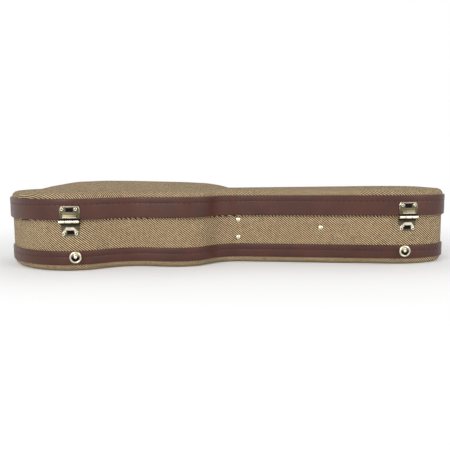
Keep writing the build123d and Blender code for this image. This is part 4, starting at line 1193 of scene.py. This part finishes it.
@dataclass
class Lining:
    """Plush-covered padding inside the tray and the lid."""

    wall: WallLine
    finishes: Finishes
    foam: tuple[float, float, float, float] = (-4.8, -12.8, 9.8, 56.7)
    crest: float = 3.2

    def pad(self, name: str, body: str, inset: float, low: float, high: float, downwards: bool, node: str) -> None:
        """A flat pad whose rim is rounded over: level lines to the spine at the height of a quarter circle.

        Args:
            name: Name of the piece.
            body: CAD body.
            inset: Distance in from the wall.
            low: Bottom of the pad.
            high: Top of the pad.
            downwards: Whether the rounded face looks down.
            node: CAD node that it stands for.
        """
        shares = (np.arange(0, 25) / 24.0) ** 2.0
        level, distance = self.wall.fan(inset, shares)
        thick = high - low
        curve = dome_over(distance / (0.9 * thick))
        puff = 0.35 * np.sin(level[..., 0] / 23.0) * np.sin(level[..., 1] / 21.0) * smooth(distance / 20.0)
        lift = curve * thick + np.where(curve > 0.99, puff, 0)
        face = high - lift if downwards else low + lift
        flat = np.full_like(face, high if downwards else low)
        cushion = Surface()
        cushion.grid(lifted(level, face))
        cushion.grid(lifted(level, flat))
        piece = dress(cushion.build(name, self.finishes.plush), body, "plush", node)

    def build(self) -> None:
        """Builds the side padding, the floor pad, the lid pad and the pull tab."""
        outer, inner, low, high = self.foam
        height = np.linspace(low + 1.0, high - self.crest, 14)
        bulge = inner - 0.5 * np.sin(np.pi * (height - low) / (high - low))
        turn = np.linspace(0, np.pi / 2, 6)[1:]
        crest = np.stack([inner + self.crest * (1 - np.cos(turn)), high - self.crest * (1 - np.sin(turn))], -1)
        profile = np.concatenate([[(outer, low), (outer, high - 1.5), (outer - 0.8, high - 0.3)], crest[::-1],
                                  np.stack([bulge, height], -1)[::-1], [(inner + 0.8, low)], [(outer, low)]])
        ring = Surface()
        ring.grid(*self.wall.sweep(profile))
        piece = dress(ring.build("side_padding", self.finishes.plush), "tray", "plush",
                      *(f"body_foam_{strip}" for strip in STRIPS))
        self.pad("floor_cushion", "tray", 9.5, 4.5, 9.5, False, "floor_pad")
        self.pad("lid_cushion", "lid", 8.9, 102.0, 107.0, True, "lid_pad")

        share = np.linspace(0, 1, 33)[:, None]
        across = np.linspace(-7, 7, 9)[None, :]
        arch = np.sin(np.pi * np.clip((share - 0.25) / 0.75, 0, 1)) * 5.0
        x = 28.0 + 18.5 * share + 0 * across
        tab = Surface()
        top, under = (np.stack(np.broadcast_arrays(x, across, high + arch), -1) for high in (40.9, 40.0))
        tab.slab(top, under, 0 * x)
        dress(tab.build("ribbon_tab", self.finishes.ribbon), "compartment_flap", "ribbon", "pull_tab")


def finish_nodes(finishes: Finishes) -> None:
    """Gives the CAD nodes that still show their finish, and eases their edges.

    Args:
        finishes: All finishes.
    """
    rules = (
        (("neck_wall", "head_wall", "compartment_lid", "compartment_ledge", "flap_hinge_blocks", "locating_lip"),
         finishes.plush, "plush", 0.7),
        (("flap_hinge_rod",), finishes.steel, "steel", 0.0),
    )
    for name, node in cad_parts.items():
        if node.hide_render:
            continue
        material, slot, width = finishes.metal, "metal", 0.35
        for names, finish, label, bevel in rules:
            if name in names:
                material, slot, width = finish, label, bevel
        node.data.materials.clear()
        node.data.materials.append(material)
        if width:
            weld = node.modifiers.new("weld", "WELD")
            weld.merge_threshold = 1e-5
            edge = node.modifiers.new("ease", "BEVEL")
            edge.width = width * METRE
            edge.segments = 2
            edge.limit_method = "ANGLE"
            edge.angle_limit = math.radians(35)
        LOG.info("dressed %s", name)


@dataclass(frozen=True)
class Studio:
    """Pale floor, soft lights and the camera of the photograph."""

    camera_place: tuple[float, float, float] = (-0.01026, -0.84393, 0.14054)
    yaw: float = 0.66
    pitch: float = 6.01
    roll: float = -0.39
    focal_pixels: float = 516.62
    frame_pixels: float = 450.0
    light_level: float = 0.55
    lamps: tuple[tuple[tuple[float, float, float], float, float], ...] = (
        ((-0.8, -1.6, 0.9), 1.1, 22.0),
        ((1.3, -1.2, 0.8), 1.0, 11.0),
        ((0.1, 1.1, 1.6), 1.3, 4.0),
    )

    def camera(self) -> None:
        """Stands the camera where the outline of the case was matched."""
        yaw, pitch, roll = (math.radians(a) for a in (self.yaw, self.pitch, self.roll))
        forward = np.array([math.sin(yaw) * math.cos(pitch), math.cos(yaw) * math.cos(pitch), -math.sin(pitch)])
        right = np.array([math.cos(yaw), -math.sin(yaw), 0.0])
        above = np.cross(right, forward)
        level = right * math.cos(roll) + above * math.sin(roll)
        upright = above * math.cos(roll) - right * math.sin(roll)
        data = bpy.data.cameras.new("photo_camera")
        data.sensor_width = 36.0
        data.lens = data.sensor_width * self.focal_pixels / self.frame_pixels
        camera = bpy.data.objects.new("photo_camera", data)
        stand(camera, self.camera_place, (level, upright, -forward))
        bpy.context.scene.camera = camera

    def world(self) -> None:
        """White behind everything and in reflections, a plain level for the light itself."""
        world = bpy.data.worlds.new("studio")
        bpy.context.scene.world = world
        world.use_nodes = True
        tree = world.node_tree
        tree.nodes.clear()
        paths = tree.nodes.new("ShaderNodeLightPath")
        seen = paths.outputs["Is Camera Ray"]
        for name in ("Is Glossy Ray", "Is Transmission Ray"):
            either = tree.nodes.new("ShaderNodeMath")
            either.operation = "MAXIMUM"
            tree.links.new(seen, either.inputs[0])
            tree.links.new(paths.outputs[name], either.inputs[1])
            seen = either.outputs[0]
        blend = tree.nodes.new("ShaderNodeMixShader")
        tree.links.new(seen, blend.inputs[0])
        for slot, strength in ((1, self.light_level), (2, 1.0)):
            background = tree.nodes.new("ShaderNodeBackground")
            background.inputs["Color"].default_value = (1, 1, 1, 1)
            background.inputs["Strength"].default_value = strength
            tree.links.new(background.outputs[0], blend.inputs[slot])
        output = tree.nodes.new("ShaderNodeOutputWorld")
        tree.links.new(blend.outputs[0], output.inputs[0])

    def floor(self) -> None:
        """Lays the pale floor, which fades to plain white away from the case."""
        finish = Finish("pale_floor")
        finish.set(Base_Color=(0.93, 0.93, 0.93, 1.0), Roughness=0.9, Specular_IOR_Level=0.1)
        away = finish.node("ShaderNodeVectorMath", operation="LENGTH")
        finish.link(finish.place(), away.inputs[0])
        fade = finish.node("ShaderNodeMapRange", From_Min=0.22, From_Max=0.80, interpolation_type="SMOOTHSTEP")
        finish.link(away.outputs["Value"], fade.inputs["Value"])
        white = finish.node("ShaderNodeEmission", Color=(1, 1, 1, 1), Strength=1.0)
        mixed = finish.node("ShaderNodeMixShader")
        finish.link(fade.outputs[0], mixed.inputs[0])
        finish.link(finish.shader.outputs[0], mixed.inputs[1])
        finish.link(white.outputs[0], mixed.inputs[2])
        finish.link(mixed.outputs[0], finish.tree.nodes["Material Output"].inputs["Surface"])
        mesh = bpy.data.meshes.new("floor")
        reach, low = 6.0, -0.0004
        corners = [(-reach, -reach, low), (reach, -reach, low), (reach, reach, low), (-reach, reach, low)]
        mesh.from_pydata(corners, [], [(0, 1, 2, 3)])
        mesh.materials.append(finish.material)
        floor = bpy.data.objects.new("floor", mesh)
        bpy.context.collection.objects.link(floor)

    def build(self) -> None:
        """Sets up the whole studio."""
        self.camera()
        self.world()
        self.floor()
        for index, (place, size, power) in enumerate(self.lamps):
            data = bpy.data.lights.new(f"lamp_{index}", "AREA")
            data.shape = "DISK"
            data.size = size
            data.energy = power
            lamp = bpy.data.objects.new(f"lamp_{index}", data)
            back = np.array(place) / np.linalg.norm(place)
            right = np.cross(UP, back)
            right = right / np.linalg.norm(right)
            stand(lamp, place, (right, np.cross(back, right), back))
        bpy.context.scene.view_settings.view_transform = "Standard"


def main() -> None:
    """Builds every sub-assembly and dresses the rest."""
    logging.basicConfig(level=logging.INFO, format="%(message)s")
    wall = WallLine(CasePlan())
    finishes = Finishes()
    TweedShells(wall, finishes).build()
    LeatherBand(wall, finishes, "lid_band", "lid", "lid_binding", 73.0, 102.9, 0.8, 4.2, 8.4).build()
    LeatherBand(wall, finishes, "tray_band", "tray", "body_binding", 9.0, 29.0, -0.2, 2.4, 8.2).build()
    Fittings(wall, finishes).build()
    Carrying(wall, finishes).build()
    Lining(wall, finishes).build()
    finish_nodes(finishes)
    Studio().build()


if __name__ == "__main__":
    main()
